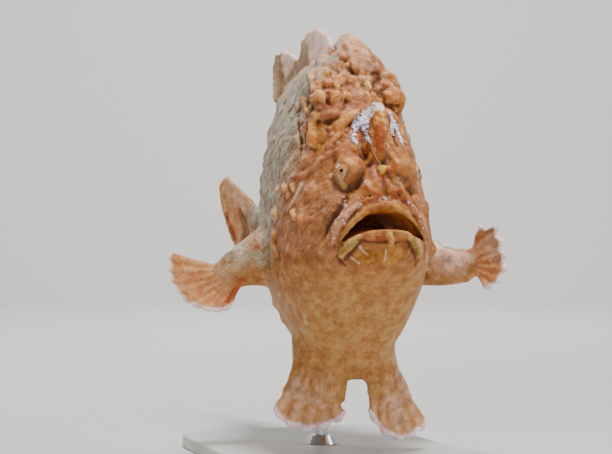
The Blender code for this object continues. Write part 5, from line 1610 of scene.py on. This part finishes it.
# Lamps: place, what they point at, power in watts and size in metres
FISH_MIDDLE = (0.0, -0.055, 0.14)
LAMPS = {
    "key": ((0.00, -0.40, 1.35), FISH_MIDDLE, 26.0, 0.28),
    "side": ((1.05, -0.55, 0.70), FISH_MIDDLE, 6.0, 0.4),
    "fill": ((-0.10, -1.35, 0.35), FISH_MIDDLE, 3.0, 0.7),
    "low": ((-0.60, -0.95, 0.10), FISH_MIDDLE, 1.5, 0.5),
    "rim": ((-0.45, 0.75, 0.75), FISH_MIDDLE, 5.0, 0.5),
    "wall": ((0.35, 1.00, 1.50), (0.86, 2.60, 0.45), 45.0, 0.8),
}

# The floor's flat radius, the radius of the curve that joins it to the wall, and the wall's height
FLOOR_RADIUS = 2.0
WALL_CURVE = 0.8
WALL_HEIGHT = 1.6
CURVE_STEPS = 12
FLOOR_STEPS = 96


def studio():
    """A pale round floor that curves up into a low wall, with soft lamps above and beside the camera."""
    profile = [(0.0, 0.0, 0.0), (FLOOR_RADIUS, 0.0, 0.0)]
    for k in range(1, CURVE_STEPS + 1):
        turn = math.radians(90 * k / CURVE_STEPS)
        out = FLOOR_RADIUS + WALL_CURVE * math.sin(turn)
        profile.append((out, 0.0, WALL_CURVE - WALL_CURVE * math.cos(turn)))
    profile.append((FLOOR_RADIUS + WALL_CURVE, 0.0, WALL_HEIGHT))
    floor = object_of("floor", profile, [], [(k, k + 1) for k in range(len(profile) - 1)])
    finish_with(
        floor, "Screw", "SCREW",
        steps=FLOOR_STEPS, render_steps=FLOOR_STEPS, use_merge_vertices=True, use_normal_calculate=True,
    )
    paint, tree, shader = new_finish("floor_paint")
    feed(tree, shader, {"Base Color": linear("cfceca"), "Roughness": 0.8})
    floor.data.materials.append(paint)
    pick(floor)
    bpy.ops.object.shade_smooth()
    world = bpy.data.worlds.new("studio")
    bpy.context.scene.world = world
    world.use_nodes = True
    sky = world.node_tree.nodes["Background"]
    sky.inputs["Color"].default_value = linear("e4e8ee")
    sky.inputs["Strength"].default_value = 0.20
    for name, (spot, target, power, size) in LAMPS.items():
        light = bpy.data.lights.new(name, "AREA")
        light.energy = power
        light.size = size
        lamp = bpy.data.objects.new(name, light)
        bpy.context.scene.collection.objects.link(lamp)
        lamp.location = spot
        lamp.rotation_euler = (Vector(spot) - Vector(target)).to_track_quat("Z", "Y").to_euler()


place_camera()
skin, skin_marks, fin_marks = closed_flesh()
thin_out(skin, shape_skin(skin, skin_marks, fin_marks))
skin.data.materials.clear()
skin.data.materials.append(skin_material())
skin.data.polygons.foreach_set("material_index", [0] * len(skin.data.polygons))
pick(skin)
bpy.ops.object.shade_smooth()
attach(skin, "root")
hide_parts(*FLESH_NODES, *FINS)
make_lure(surface_of(skin))
for side in (-1, 1):
    make_eye(side)
refinish("stand_base", coated_steel_material())
steel = turned_steel_material()
refinish("stand_collar", steel)
refinish("stand_rod", steel)
studio()
